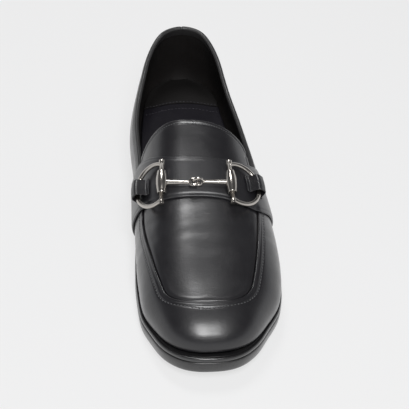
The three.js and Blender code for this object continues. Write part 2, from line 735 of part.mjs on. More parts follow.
const leather = new THREE.MeshStandardMaterial({ color: 0x1c1c1e, roughness: 0.42, metalness: 0 });
const soleLeather = new THREE.MeshStandardMaterial({ color: 0x2a2829, roughness: 0.5, metalness: 0 });
const rubber = new THREE.MeshStandardMaterial({ color: 0x151515, roughness: 0.8, metalness: 0 });
const lining = new THREE.MeshStandardMaterial({ color: 0x161417, roughness: 0.7, metalness: 0 });
const metal = new THREE.MeshStandardMaterial({ color: 0x8f8a84, roughness: 0.2, metalness: 1 });

const part = new THREE.Group();
function addNode(name, geometry, material) {
  const mesh = new THREE.Mesh(geometry, material.clone());
  mesh.name = name;
  part.add(mesh);
}
addNode("upper", upperGeometry(), leather);
addNode("outsole", outsoleGeometry(), soleLeather);
addNode("welt", weltGeometry(), soleLeather);
addNode("heel_block", heelBlockGeometry(), soleLeather);
addNode("heel_top_piece", topPieceGeometry(), rubber);
addNode("insole", insoleGeometry(), lining);
addNode("tongue", tongueGeometry(), leather);
addNode("saddle_strap", strapGeometry(), leather);
addNode("keeper_lateral", keeperGeometry(1), leather);
addNode("keeper_medial", keeperGeometry(-1), leather);
addNode("bit_half_lateral", bitGeometry(1), metal);
addNode("bit_half_medial", bitGeometry(-1), metal);

// The origin lies under the middle of the whole shoe.
const whole = new THREE.Box3().setFromObject(part);
part.position.set(-(whole.min.x + whole.max.x) / 2, -(whole.min.y + whole.max.y) / 2, -whole.min.z);

export default part;
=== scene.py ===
"""Looks of one black leather bit loafer, the wearer's left shoe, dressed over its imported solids.

The last's functions work in millimetres in the last's own frame, and Last.to_scene turns their points into
metres in the frame of the part: toe to -Y, outer side of the foot to +X, floor at z = 0.
"""

import logging
import math
from collections.abc import Callable
from dataclasses import dataclass, field
from enum import Enum
from functools import partial

import bmesh
import bpy
import numpy as np
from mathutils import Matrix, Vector


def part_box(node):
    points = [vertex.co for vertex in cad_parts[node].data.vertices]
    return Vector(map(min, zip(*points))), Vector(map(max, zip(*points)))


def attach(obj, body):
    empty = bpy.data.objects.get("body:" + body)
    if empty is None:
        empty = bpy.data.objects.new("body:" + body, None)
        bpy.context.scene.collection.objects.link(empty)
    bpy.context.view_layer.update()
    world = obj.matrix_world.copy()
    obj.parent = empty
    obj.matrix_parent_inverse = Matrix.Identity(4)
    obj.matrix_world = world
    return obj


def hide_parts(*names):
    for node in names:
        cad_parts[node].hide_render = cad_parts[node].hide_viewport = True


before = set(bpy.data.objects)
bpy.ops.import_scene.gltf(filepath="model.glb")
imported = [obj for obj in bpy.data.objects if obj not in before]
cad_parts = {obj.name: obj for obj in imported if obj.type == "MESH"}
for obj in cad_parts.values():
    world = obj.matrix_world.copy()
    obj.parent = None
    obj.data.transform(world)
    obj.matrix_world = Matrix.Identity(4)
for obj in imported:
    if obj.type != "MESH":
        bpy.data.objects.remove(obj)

Array = np.ndarray
MM = 0.001
LOG = logging.getLogger("bit_loafer")


class Side(Enum):
    """The two sides of the foot, each with the sign of X there."""

    LATERAL = 1
    MEDIAL = -1


@dataclass(frozen=True)
class Table:
    """Rows of numbers under named columns, read smoothly between the rows. The first column is the place."""

    columns: str
    rows: tuple[tuple[float, ...], ...]

    def at(self, column: str, place: Array) -> Array:
        """Reads one column.

        Args:
            column: Name of the column.
            place: Places in the first column's measure.

        Returns:
            The column's values there.
        """
        data = np.array(self.rows, float)
        places, values = data[:, 0], data[:, self.columns.split().index(column)]
        k = np.searchsorted(places[1:-1], place, side="left")
        span = places[k + 1] - places[k]
        x = np.clip((place - places[k]) / span, 0, 1)
        index = np.arange(len(places))
        before, after = np.maximum(index - 1, 0), np.minimum(index + 1, len(places) - 1)
        slope = (values[after] - values[before]) / (places[after] - places[before])
        return (
            values[k] * (1 + 2 * x) * (1 - x) ** 2
            + slope[k] * span * x * (1 - x) ** 2
            + values[k + 1] * x * x * (3 - 2 * x)
            + slope[k + 1] * span * x * x * (x - 1)
        )

    def side(self, side: Array, place: Array) -> Array:
        """Reads the column lateral or medial, as the sign of side says."""
        return np.where(np.asarray(side) > 0, self.at("lateral", place), self.at("medial", place))


def smooth(x: Array) -> Array:
    """Eases from 0 to 1 as x does."""
    x = np.clip(x, 0, 1)
    return x * x * (3 - 2 * x)


def hump(x: Array, middle: float, width: float) -> Array:
    """A bell of height 1 at middle."""
    return np.exp(-(((x - middle) / width) ** 2))


def unit(v: Array) -> Array:
    """Vectors of length 1 along the last axis."""
    return v / np.maximum(np.linalg.norm(v, axis=-1, keepdims=True), 1e-12)


def along_of(step: Array) -> Array:
    """Share along the shoe for a step of the way round, crowded towards both tips."""
    return (1 - np.cos(np.pi * np.asarray(step, float))) / 2


def step_of(along: Array) -> Array:
    """Step of the way round for a share along the shoe."""
    return np.arccos(1 - 2 * np.asarray(along, float)) / np.pi


def round_the_shoe(steps: Array) -> tuple[Array, Array]:
    """Signs and steps of a closed row of columns: along one side to the toe and back along the other."""
    side = np.concatenate([np.ones(len(steps)), -np.ones(len(steps) - 2)])
    return side, np.concatenate([steps, steps[1:-1][::-1]])


def turn_where(below: Callable, shape: tuple[int, ...], low: float = 0.0, high: float = 1.0) -> Array:
    """Finds the turn at which a test that is true below it stops being true.

    Args:
        below: Takes an array of turns and says where the test is true.
        shape: Shape of that array.
        low: Lowest turn.
        high: Highest turn.

    Returns:
        The turns.
    """
    low, high = np.full(shape, low), np.full(shape, high)
    for _ in range(36):
        middle = (low + high) / 2
        under = below(middle)
        low, high = np.where(under, middle, low), np.where(under, high, middle)
    return (low + high) / 2


@dataclass(frozen=True)
class Last:
    """The last and the levels of the sole under it. Sizes are in millimetres."""

    sole_length: float = 298
    ball_width: float = 96
    toe_swing: float = 3.2
    toe_margin: float = 5.5
    ball_margin: float = 3.6
    waist_margin: float = 2.2
    heel_margin: float = 3.5
    seat_height: float = 28
    outsole: float = 9.8
    heel_sole: float = 5.5
    welt: float = 3.6
    wall: float = 2.2
    instep_height: float = 96
    back_height: float = 54.5
    bulge_height: float = 16
    gap: float = 0.3
    toe_cap: tuple[float, float] = (0.16, 2.55)
    heel_cap: tuple[float, float] = (0.135, 2.0)
    ridge_heel: float = 0.16
    ridge_toe: float = 0.76
    throat_along: float = 0.58
    apron_front: float = 0.913
    apron_corner: float = 0.06
    apron_power: float = 2.6
    outline: Table = Table("along lateral medial", (
        (0, 0.3, 0.32), (0.1, 0.3, 0.33), (0.2, 0.325, 0.37), (0.3, 0.37, 0.4), (0.4, 0.41, 0.405),
        (0.5, 0.455, 0.425), (0.6, 0.5, 0.46), (0.68, 0.52, 0.48), (0.76, 0.52, 0.49), (0.84, 0.49, 0.475),
        (0.92, 0.408, 0.408), (1, 0.38, 0.38),
    ))
    profile: Table = Table("along lift ridge crown full inner lateral medial", (
        (0, 1, 1.3, 1.2, 1, 0, 0.034, 0.034),
        (0.12, 0.99, 1.28, 1.14, 0.95, 0, 0.034, 0.04),
        (0.24, 0.86, 1.2, 1.03, 0.9, 0.02, 0.04, 0.068),
        (0.36, 0.56, 1.09, 0.98, 0.85, 0.055, 0.042, 0.07),
        (0.43, 0.37, 0.99, 0.95, 0.8, 0.065, 0.036, 0.058),
        (0.5, 0.2, 0.87, 0.87, 0.76, 0.065, 0.03, 0.052),
        (0.62, 0.01, 0.725, 0.725, 0.74, 0.06, 0.02, 0.03),
        (0.7, 0, 0.65, 0.65, 0.74, 0.055, 0.017, 0.02),
        (0.78, 0, 0.575, 0.575, 0.74, 0.055, 0.015, 0.016),
        (0.86, 0.08, 0.5, 0.5, 0.75, 0.05, 0.014, 0.014),
        (1, 0.5, 0.4, 0.4, 0.75, 0.03, 0.012, 0.012),
    ))
    collar: Table = Table("along height", (
        (0, 1), (0.04, 0.98), (0.12, 0.8), (0.22, 0.62), (0.32, 0.58), (0.42, 0.63), (0.55, 0.75),
    ))
    apron: Table = Table("along lateral medial", (
        (0.5, 0.4, 0.41), (0.58, 0.405, 0.435), (0.67, 0.39, 0.447), (0.78, 0.342, 0.407),
        (0.86, 0.285, 0.355), (0.92, 0.235, 0.315),
    ))

    @property
    def heel_y(self) -> float:
        """Back of the upper's foot."""
        return self.sole_length / 2 - self.heel_margin

    @property
    def upper_length(self) -> float:
        """Length of the upper's foot."""
        return self.sole_length - self.heel_margin - self.toe_margin

    @property
    def sole_stack(self) -> float:
        """Floor to the foot of the upper at the ball."""
        return self.outsole + self.welt + 2 * self.gap

    @property
    def margins(self) -> Table:
        """How far the sole stands out past the foot of the upper."""
        heel, waist, ball, toe = self.heel_margin, self.waist_margin, self.ball_margin, self.toe_margin
        return Table("along lateral medial", (
            (0, heel, heel), (0.2, heel, heel), (0.42, waist, waist), (0.7, 0.7 * ball, 0.62 * ball),
            (0.88, 0.45 * ball, 0.6 * ball), (0.97, 0.9 * ball, 1.1 * ball), (1, toe, toe),
        ))

    def end_cap(self, along: Array) -> Array:
        """How far the round ends pull the outline in, from 1 along the middle to 0 at the tips."""
        (toe_length, toe_power), (heel_length, heel_power) = self.toe_cap, self.heel_cap
        toe = np.clip(1 - (1 - along) / toe_length, 0, 1)
        heel = np.clip(1 - along / heel_length, 0, 1)
        return (1 - toe**toe_power) ** (1 / toe_power) * (1 - heel**heel_power) ** (1 / heel_power)

    def y_at(self, along: Array) -> Array:
        """Place along Y of a share along the upper."""
        return self.heel_y - along * self.upper_length

    def foot_z(self, along: Array) -> Array:
        """Level of the foot of the upper."""
        lift = np.maximum(0, self.profile.at("lift", along))
        return self.sole_stack + lift * (self.seat_height - self.sole_stack)

    def foot_point(self, side: Array, step: Array) -> Array:
        """Outline of the upper's foot in plan."""
        along = along_of(step)
        half = self.outline.side(side, along) * self.ball_width * self.end_cap(along)
        swing = self.toe_swing * smooth((along - 0.78) / 0.22)
        return np.stack([side * half - swing, self.y_at(along)], -1)

    def foot(self, side: Array, step: Array) -> tuple[Array, Array]:
        """Outline of the upper's foot in plan, with its outward direction.

        Args:
            side: Signs of the side, 1 for lateral.
            step: Steps of the way from heel to toe.

        Returns:
            The points and the outward directions, both in plan.
        """
        side, step = np.broadcast_arrays(np.asarray(side, float), np.asarray(step, float))
        reach = 0.004
        back, front = np.maximum(0, step - reach), np.minimum(1, step + reach)
        a = np.where((step <= 0)[..., None], self.foot_point(-side, front), self.foot_point(side, back))
        b = np.where((step >= 1)[..., None], self.foot_point(-side, back), self.foot_point(side, front))
        way = unit(b - a)
        return self.foot_point(side, step), np.stack([-way[..., 1] * side, way[..., 0] * side], -1)

    def ridge_along(self, along: Array) -> Array:
        """Where the ridge lies that a column runs up to: it lags behind the outline round heel and toe."""
        heel, toe = self.ridge_heel, self.ridge_toe
        round_toe = toe + ((1 - toe) / 2) * (1 - (1 - (along - toe) / (1 - toe)) ** 2)
        round_heel = heel - (heel / 2) * (1 - (along / heel) ** 2)
        ends = [along > 0.994, along > toe, along < heel]
        return np.select(ends, [(1 + toe) / 2, round_toe, round_heel], along)

    def point(self, side: Array, step: Array, turn: Array, crown: str = "crown") -> Array:
        """A point of the last.

        Args:
            side: Signs of the side.
            step: Steps of the way from heel to toe.
            turn: Way up from the foot of the upper, 0, to the ridge, 1.
            crown: Column of the profile that the surface leans towards.

        Returns:
            The points.
        """
        side, step, turn = np.broadcast_arrays(*(np.asarray(v, float) for v in (side, step, turn)))
        along = along_of(step)
        here, out = self.foot(side, step)
        ridge = self.ridge_along(along)
        z_foot, z_ridge = self.foot_z(along), self.profile.at(crown, ridge) * self.instep_height
        reach = 0.01
        fall = self.profile.at(crown, ridge - reach) - self.profile.at(crown, ridge + reach)
        run = 2 * reach * self.upper_length
        slope = np.where(along > self.ridge_toe, fall * self.instep_height / run, 0)
        angle = np.clip(turn, 0, 1) * np.pi / 2
        full = self.profile.at("full", along)
        inward, lift = 1 - np.maximum(0, np.cos(angle)) ** full, np.sin(angle) ** full
        height = (z_ridge - z_foot) * lift
        bulge = self.profile.side(side, along) * self.ball_width * (height / self.bulge_height)
        bulge = bulge * np.exp(1 - height / self.bulge_height) * np.cos(angle)
        swing = self.profile.at("inner", ridge) * self.ball_width
        y_ridge = self.y_at(ridge)
        x = here[..., 0] * (1 - inward) - swing * inward + out[..., 0] * bulge
        y = here[..., 1] + (y_ridge - here[..., 1]) * inward + out[..., 1] * bulge
        lean = slope * (y - y_ridge - (here[..., 1] - y_ridge) * (1 - lift))
        return np.stack([x, y, z_foot + height + lean], -1)

    def side_normal(self, side: Array, step: Array, turn: Array, crown: str) -> Array:
        """Outward direction of one side of the last."""
        e = 0.003
        high, s = np.minimum(turn, 1 - e), np.clip(step, e, 1 - e)
        du = self.point(side, s + e, high, crown) - self.point(side, s - e, high, crown)
        top, low = np.minimum(1, high + e), np.maximum(0, high - e)
        dv = self.point(side, s, top, crown) - self.point(side, s, low, crown)
        n = np.cross(du, dv) * -side[..., None]
        n[..., 2] = np.where(turn <= 0, 0, n[..., 2])
        return unit(n)

    def normal(self, side: Array, step: Array, turn: Array, crown: str = "crown") -> Array:
        """Outward direction of the last, the same from both sides where they meet."""
        side, step, turn = np.broadcast_arrays(*(np.asarray(v, float) for v in (side, step, turn)))
        n = self.side_normal(side, step, turn, crown)
        tip = n + self.side_normal(-side, step, turn, crown)
        tip[..., 0] = 0
        n = np.where(((step <= 0) | (step >= 1))[..., None], unit(tip), n)
        ridge = self.ridge_along(along_of(step))
        fall = self.profile.at(crown, ridge - 0.01) - self.profile.at(crown, ridge + 0.01)
        run = np.full_like(fall, 0.02 * self.upper_length)
        top = unit(np.stack([np.zeros_like(fall), -fall * self.instep_height, run], -1))
        return np.where((turn >= 1)[..., None], top, n)

    def off(self, side: Array, step: Array, turn: Array, away: Array, crown: str = "crown") -> Array:
        """The last moved out along its normal.

        Args:
            side: Signs of the side.
            step: Steps of the way from heel to toe.
            turn: Way up, 0 to 1.
            away: Distances out.
            crown: Column of the profile that the surface leans towards.

        Returns:
            The points.
        """
        away = np.asarray(away, float)[..., None]
        return self.point(side, step, turn, crown) + self.normal(side, step, turn, crown) * away

    def apron_half(self, side: Array, y: Array) -> Array:
        """Half width of the apron at a place, none in front of it."""
        behind = self.apron_front - (self.heel_y - y) / self.upper_length
        short = np.clip(1 - behind / self.apron_corner, 0, 1)
        cap = (1 - short**self.apron_power) ** (1 / self.apron_power)
        half = self.apron.side(side, self.apron_front - np.maximum(behind, 0)) * self.ball_width * cap
        return np.where(behind <= 0, 0, half)

    def seam_turn(self, side: Array, step: Array) -> Array:
        """Turn of the moccasin seam, for columns in front of the throat."""

        def below(turn: Array) -> Array:
            """True outside the apron."""
            p = self.point(side, step, turn)
            half = self.apron_half(side, p[..., 1])
            return (half == 0) | ((step < 1) & (side * p[..., 0] > half))

        return turn_where(below, step.shape)

    def collar_turn(self, side: Array, step: Array) -> Array:
        """Turn of the collar, for columns behind the throat: it runs into the end of the seam."""
        along = along_of(step)
        start = self.collar.rows[4][0]
        throat = np.full(step.shape, step_of(self.throat_along))
        seam = self.point(side, throat, self.seam_turn(side, throat))[..., 2] - self.foot_z(self.throat_along)
        missing = seam - self.collar.at("height", self.throat_along) * self.back_height
        blend = smooth((along - start) / (self.throat_along - start))
        height = self.collar.at("height", along) * self.back_height + missing * blend

        def below(turn: Array) -> Array:
            """True under the collar."""
            return self.point(side, step, turn)[..., 2] < self.foot_z(along) + height

        return turn_where(below, step.shape)

    def edge_turn(self, side: Array, step: Array) -> Array:
        """Turn of the upper's edge: collar behind the throat, seam in front of it."""
        side, step = np.broadcast_arrays(np.asarray(side, float), np.asarray(step, float))
        behind = along_of(step) < self.throat_along
        return np.where(behind, self.collar_turn(side, step), self.seam_turn(side, step))

    def rim(self, side: Array, step: Array, extra: Array = 0.0) -> Array:
        """Edge of the sole in plan, moved out by a distance."""
        here, out = self.foot(side, step)
        margin = self.margins.side(side, along_of(step)) + extra
        return here + out * np.asarray(margin)[..., None]

    def level(self, y: Array) -> Array:
        """Level of the foot of the upper at a place, carried on past the toe."""
        along = np.clip((self.heel_y - y) / self.upper_length, 0, 1)
        past = np.maximum(0, self.y_at(1.0) - y)
        rise = (self.foot_z(1.0) - self.foot_z(0.99)) / (0.01 * self.upper_length)
        return self.foot_z(along) + past * rise

    def welt_top(self, y: Array) -> Array:
        """Level of the top of the welt."""
        return self.level(y) - self.gap

    def sole_top(self, y: Array) -> Array:
        """Level of the top of the outsole."""
        return self.welt_top(y) - self.welt - self.gap

    def sole_under(self, y: Array) -> Array:
        """Level of the underside of the outsole."""
        along = np.clip((self.heel_y - y) / self.upper_length, 0, 1)
        thinner = smooth((0.5 - along) / 0.25) * (self.outsole - self.heel_sole)
        return self.sole_top(y) - self.outsole + thinner

    def centre_shift(self) -> float:
        """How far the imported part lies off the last's own frame along X, in metres."""
        steps = np.linspace(0, 1, 400)
        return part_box("outsole")[1].x - self.rim(1.0, steps)[:, 0].max() * MM

    def to_scene(self, points: Array) -> Array:
        """Millimetres of the last's frame as metres of the part's frame."""
        return np.asarray(points, float) * MM + np.array([self.centre_shift(), 0, 0])


@dataclass(frozen=True)
class Crease:
    """A soft trough across the leather with a low ridge beside it, placed in plan, in millimetres."""

    start: tuple[float, float]
    end: tuple[float, float]
    bow: float
    width: float
    depth: float

    def relief(self, points: Array) -> Array:
        """How far the crease moves each point along its normal.

        Args:
            points: Points of the last.

        Returns:
            Distances, below 0 in the trough.
        """
        a, b = np.array(self.start), np.array(self.end)
        length = np.linalg.norm(b - a)
        way = (b - a) / length
        t = ((points[..., :2] - a) @ way) / length
        aside = (points[..., :2] - a) @ np.array([-way[1], way[0]]) - self.bow * (1 - (2 * t - 1) ** 2)
        fade = smooth(t / 0.3) * smooth((1 - t) / 0.3)
        trough = -self.depth * hump(aside, 0, self.width)
        both = hump(aside, 2 * self.width, self.width) + hump(aside, -2 * self.width, self.width)
        ridge = 0.55 * self.depth * both
        return (trough + ridge) * fade


class Shape:
    """A mesh in the making: points in millimetres of the last's frame, and faces."""

    def __init__(self) -> None:
        self.points: list[Array] = []
        self.faces: list[tuple[int, ...]] = []
        self.count = 0

    def add(self, points: Array) -> int:
        """Adds points and returns the number of the first one."""
        first = self.count
        self.points.append(np.asarray(points, float).reshape(-1, 3))
        self.count += len(self.points[-1])
        return first

    def tube(self, loops: Array, wrap: bool = False, caps: bool = False) -> None:
        """Adds a skin over closed sections.

        Args:
            loops: Sections by points by three.
            wrap: Join the last section to the first.
            caps: Close both ends with a fan round their middle.
        """
        rows, size = loops.shape[:2]
        first = self.add(loops)
        i = np.arange(rows if wrap else rows - 1)[:, None] * size
        j = (np.arange(rows if wrap else rows - 1)[:, None] + 1) % rows * size
        k, n = np.arange(size)[None, :], (np.arange(size)[None, :] + 1) % size
        quads = np.stack([i + k, i + n, j + n, j + k], -1).reshape(-1, 4) + first
        self.faces.extend(map(tuple, quads.tolist()))
        for row, turned in ((0, True), (rows - 1, False)) if caps else ():
            middle = self.add(loops[row].mean(0))
            ring = first + row * size
            for k in range(size):
                edge = (ring + k, ring + (k + 1) % size)
                self.faces.append((middle, *(edge[::-1] if turned else edge)))

    def grid(self, points: Array) -> None:
        """Adds an open sheet of rows by columns of points."""
        rows, columns = points.shape[:2]
        first = self.add(points)
        i, k = np.arange(rows - 1)[:, None] * columns, np.arange(columns - 1)[None, :]
        quads = np.stack([i + k, i + k + 1, i + k + 1 + columns, i + k + columns], -1).reshape(-1, 4) + first
        self.faces.extend(map(tuple, quads.tolist()))

    def piece(self, name: str, last: Last, flip: bool = False) -> bpy.types.Object:
        """Makes the object, with its doubles merged and its faces smooth.

        Args:
            name: The object's name.
            last: The last whose frame the points are in.
            flip: Turn every face round.

        Returns:
            The object, at the origin.
        """
        mesh = bpy.data.meshes.new(name)
        mesh.from_pydata(last.to_scene(np.concatenate(self.points)).tolist(), [], self.faces)
        made = bmesh.new()
        made.from_mesh(mesh)
        bmesh.ops.remove_doubles(made, verts=made.verts, dist=4e-6)
        bmesh.ops.dissolve_degenerate(made, edges=made.edges, dist=1e-7)
        if flip:
            bmesh.ops.reverse_faces(made, faces=made.faces)
        made.to_mesh(mesh)
        made.free()
        mesh.shade_smooth()
        return put(name, mesh)


def thicken(piece: bpy.types.Object, thickness: float) -> None:
    """Gives an open sheet its thickness in millimetres, away from its outer face."""
    solid = piece.modifiers.new("thickness", "SOLIDIFY")
    solid.thickness, solid.offset = thickness * MM, -1


def rounded_loops(outer: Array, inner: Array, edge_steps: int = 4, round_first: bool = True) -> Array:
    """Closed sections of a sheet whose two long edges are rounded.

    Args:
        outer: Rows by columns of points on the outer face.
        inner: The same on the inner face.
        edge_steps: Points round each edge.
        round_first: Round the edge at column 0 too, or leave it square.

    Returns:
        Rows of closed sections.
    """

    def bend(edge: int, inside: int) -> list[Array]:
        """Points round one edge, from its outer to its inner face."""
        middle, half = (outer[:, edge] + inner[:, edge]) / 2, (outer[:, edge] - inner[:, edge]) / 2
        way = unit(outer[:, edge] - outer[:, inside]) * np.linalg.norm(half, axis=-1, keepdims=True)
        angles = np.linspace(0, np.pi, edge_steps + 2)[1:-1]
        return [middle + half * math.cos(a) + way * math.sin(a) * 0.7 for a in angles]

    last_edge = bend(-1, -2)
    first_edge = bend(0, 1)[::-1] if round_first else []
    columns = [outer.swapaxes(0, 1), *[p[None] for p in last_edge], inner.swapaxes(0, 1)[::-1]]
    columns += [p[None] for p in first_edge]
    return np.concatenate(columns, 0).swapaxes(0, 1)


def rounded_ends(loops: Array, thickness: float, steps: int = 4) -> Array:
    """Adds sections that round off both ends of a sheet made of closed sections."""
    size = loops.shape[1]

    def end(row: int, inside: int) -> list[Array]:
        """Sections past one end, drawn together towards the middle of the sheet."""
        ring, before = loops[row], loops[inside]
        mirror = ring[::-1]
        shift = int(np.argmin([np.linalg.norm(ring - np.roll(mirror, s, 0)) for s in range(size)]))
        middle = (ring + np.roll(mirror, shift, 0)) / 2
        way = unit(ring - before) * thickness / 2
        angles = np.linspace(0, np.pi / 2, steps + 1)[1:]
        return [middle + (ring - middle) * math.cos(a) + way * math.sin(a) * 0.7 for a in angles]

    return np.stack([*end(0, 1)[::-1], *loops, *end(-1, -2)])


def round_bar(points: Array, radii: Array, up: Array, sides: int = 20, loop: bool = False) -> Array:
    """Round sections along a line.

    Args:
        points: Points of the line.
        radii: Radius at each.
        up: A direction that the sections keep to.
        sides: Corners of a section.
        loop: The line is closed.

    Returns:
        Sections by corners by three.
    """
    before = np.roll(points, 1, 0) if loop else np.concatenate([points[:1], points[:-1]])
    after = np.roll(points, -1, 0) if loop else np.concatenate([points[1:], points[-1:]])
    way = unit(after - before)
    aside = unit(up - (way @ up)[:, None] * way)
    third = np.cross(way, aside)
    angle = np.linspace(0, 2 * np.pi, sides, endpoint=False)
    around = aside[:, None] * np.cos(angle)[None, :, None] + third[:, None] * np.sin(angle)[None, :, None]
    return points[:, None] + around * np.asarray(radii, float)[:, None, None]


def put(name: str, data: bpy.types.ID) -> bpy.types.Object:
    """Makes an object at the origin of the scene."""
    thing = bpy.data.objects.new(name, data)
    bpy.context.scene.collection.objects.link(thing)
    return thing


def add_node(tree: bpy.types.NodeTree, kind: str, inputs: dict | None = None,
             **options: object) -> bpy.types.Node:
    """Adds a node to a tree.

    Args:
        tree: The tree.
        kind: Blender's name of the node's type.
        inputs: Values or sockets by the name or number of its inputs.
        **options: Properties of the node.

    Returns:
        The node.
    """
    node = tree.nodes.new(kind)
    for key, value in options.items():
        setattr(node, key, value)
    for key, value in (inputs or {}).items():
        if isinstance(value, bpy.types.NodeSocket):
            tree.links.new(value, node.inputs[key])
        else:
            node.inputs[key].default_value = value
    return node


class Nodes:
    """A short way to write a material's nodes."""

    def __init__(self, name: str) -> None:
        self.material = bpy.data.materials.new(name)
        self.material.use_nodes = True
        self.tree = self.material.node_tree
        self.shader = self.tree.nodes["Principled BSDF"]
        self.place = self.tree.nodes.new("ShaderNodeTexCoord").outputs["Object"]

    def add(self, kind: str, inputs: dict | None = None, **options: object) -> bpy.types.Node:
        """Adds a node to the material's tree."""
        return add_node(self.tree, kind, inputs, **options)

    def noise(self, scale: float, detail: float = 3, rough: float = 0.5, vector: object = None) -> object:
        """Noise over the piece, from 0 to 1, with scale in waves a metre."""
        inputs = {"Vector": vector or self.place, "Scale": scale, "Detail": detail, "Roughness": rough}
        return self.add("ShaderNodeTexNoise", inputs).outputs["Fac"]

    def ramp(self, value: object, low: float, high: float,
             source: tuple[float, float] = (0.3, 0.7)) -> object:
        """Maps a value from a source range to low and high."""
        inputs = {"Value": value, "From Min": source[0], "From Max": source[1], "To Min": low, "To Max": high}
        return self.add("ShaderNodeMapRange", inputs).outputs["Result"]

    def mix(self, fac: object, low: tuple, high: tuple) -> object:
        """Mixes two colours."""
        node = self.add("ShaderNodeMix", data_type="RGBA")
        for socket, value in (("A", low), ("B", high)):
            next(s for s in node.inputs if s.name == socket and s.type == "RGBA").default_value = (*value, 1)
        self.tree.links.new(fac, node.inputs["Factor"])
        return next(s for s in node.outputs if s.type == "RGBA")

    def math(self, operation: str, a: object, b: object = 0.0) -> object:
        """One sum on two values."""
        return self.add("ShaderNodeMath", {0: a, 1: b}, operation=operation).outputs[0]

    def set(self, **values: object) -> None:
        """Sets or links inputs of the shader, whose spaces are written as underscores."""
        for key, value in values.items():
            socket = self.shader.inputs[key.replace("_", " ")]
            if isinstance(value, bpy.types.NodeSocket):
                self.tree.links.new(value, socket)
            else:
                socket.default_value = value

    def bump(self, height: object, depth_mm: float, under: object = None) -> object:
        """Adds a bump of a depth in millimetres, over another bump if given."""
        inputs = {"Height": height, "Distance": depth_mm * MM, "Strength": 1.0}
        if under is not None:
            inputs["Normal"] = under
        return self.add("ShaderNodeBump", inputs).outputs["Normal"]


@dataclass(frozen=True)
class LeatherFinish:
    """A leather: colour, polish and grain."""

    name: str
    low: tuple[float, float, float]
    high: tuple[float, float, float]
    roughness: tuple[float, float] = (0.34, 0.44)
    coat: float = 0.12
    coat_roughness: float = 0.22
    grain_mm: float = 0.75
    grain_depth: float = 0.05
    ripple_depth: float = 0.1
    mottle_depth: float = 0.035
    wrinkle_scale: tuple[float, float, float] = (110, 480, 300)
    wrinkle_depth: float = 0.03
    specular: float = 0.5

    def material(self) -> bpy.types.Material:
        """Builds the material."""
        n = Nodes(self.name)
        cells = n.add("ShaderNodeTexVoronoi", {"Vector": n.place, "Scale": 1000 / self.grain_mm},
                      feature="SMOOTH_F1").outputs["Distance"]
        pores = n.noise(2600, 2)
        grain = n.math("ADD", cells, n.math("MULTIPLY", pores, 0.5))
        ripple = n.noise(150, 2, 0.55)
        mottle = n.noise(430, 2, 0.5)
        stretch = n.add("ShaderNodeMapping", {"Vector": n.place, "Scale": self.wrinkle_scale})
        wrinkle = n.noise(1.0, 2, 0.5, stretch.outputs["Vector"])
        cloud = n.noise(38, 4, 0.6)
        n.set(Base_Color=n.mix(n.ramp(cloud, 0, 1), self.low, self.high))
        n.set(Roughness=n.ramp(n.noise(90, 4, 0.62), *self.roughness))
        under = n.bump(wrinkle, self.wrinkle_depth, n.bump(ripple, self.ripple_depth))
        n.set(Normal=n.bump(grain, self.grain_depth, n.bump(mottle, self.mottle_depth, under)))
        n.set(Coat_Weight=self.coat, Coat_Roughness=self.coat_roughness, Specular_IOR_Level=self.specular)
        return n.material


@dataclass(frozen=True)
class EdgeFinish:
    """A trimmed and inked leather edge or a stacked layer: fine lines along it under wax."""

    name: str
    low: tuple[float, float, float]
    high: tuple[float, float, float]
    roughness: tuple[float, float] = (0.3, 0.45)
    line_mm: float = 0.7
    line_depth: float = 0.06
    scuff_depth: float = 0.03
    coat: float = 0.2
    coat_roughness: float = 0.25

    def material(self) -> bpy.types.Material:
        """Builds the material."""
        n = Nodes(self.name)
        stretch = n.add("ShaderNodeMapping", {"Vector": n.place, "Scale": (60, 60, 1000 / self.line_mm)})
        lines = n.noise(1.0, 3, 0.6, stretch.outputs["Vector"])
        scuff = n.noise(420, 4, 0.7)
        n.set(Base_Color=n.mix(n.ramp(scuff, 0, 1), self.low, self.high))
        wear = n.math("ADD", lines, n.math("MULTIPLY", scuff, 0.4))
        n.set(Roughness=n.ramp(wear, *self.roughness, (0.4, 0.95)))
        n.set(Normal=n.bump(scuff, self.scuff_depth, n.bump(lines, self.line_depth)))
        n.set(Coat_Weight=self.coat, Coat_Roughness=self.coat_roughness)
        return n.material


@dataclass(frozen=True)
class MetalFinish:
    """Polished dark plating with faint smears and hairlines."""

    name: str
    colour: tuple[float, float, float]
    roughness: tuple[float, float] = (0.08, 0.17)

    def material(self) -> bpy.types.Material:
        """Builds the material."""
        n = Nodes(self.name)
        smear = n.noise(240, 4, 0.6)
        dark = tuple(0.86 * c for c in self.colour)
        n.set(Base_Color=n.mix(n.ramp(n.noise(60, 3), 0, 1), dark, self.colour))
        n.set(Roughness=n.ramp(smear, *self.roughness))
        n.set(Metallic=1.0, Normal=n.bump(n.noise(900, 2), 0.004))
        return n.material


@dataclass(frozen=True)
class ThreadFinish:
    """Waxed thread with a fine twist."""

    name: str
    colour: tuple[float, float, float]

    def material(self) -> bpy.types.Material:
        """Builds the material."""
        n = Nodes(self.name)
        twist = n.noise(3200, 1)
        n.set(Base_Color=n.mix(n.ramp(twist, 0, 1), tuple(0.6 * c for c in self.colour), self.colour))
        n.set(Roughness=n.ramp(twist, 0.4, 0.6), Normal=n.bump(twist, 0.05))
        n.set(Sheen_Weight=0.2, Sheen_Roughness=0.4)
        return n.material


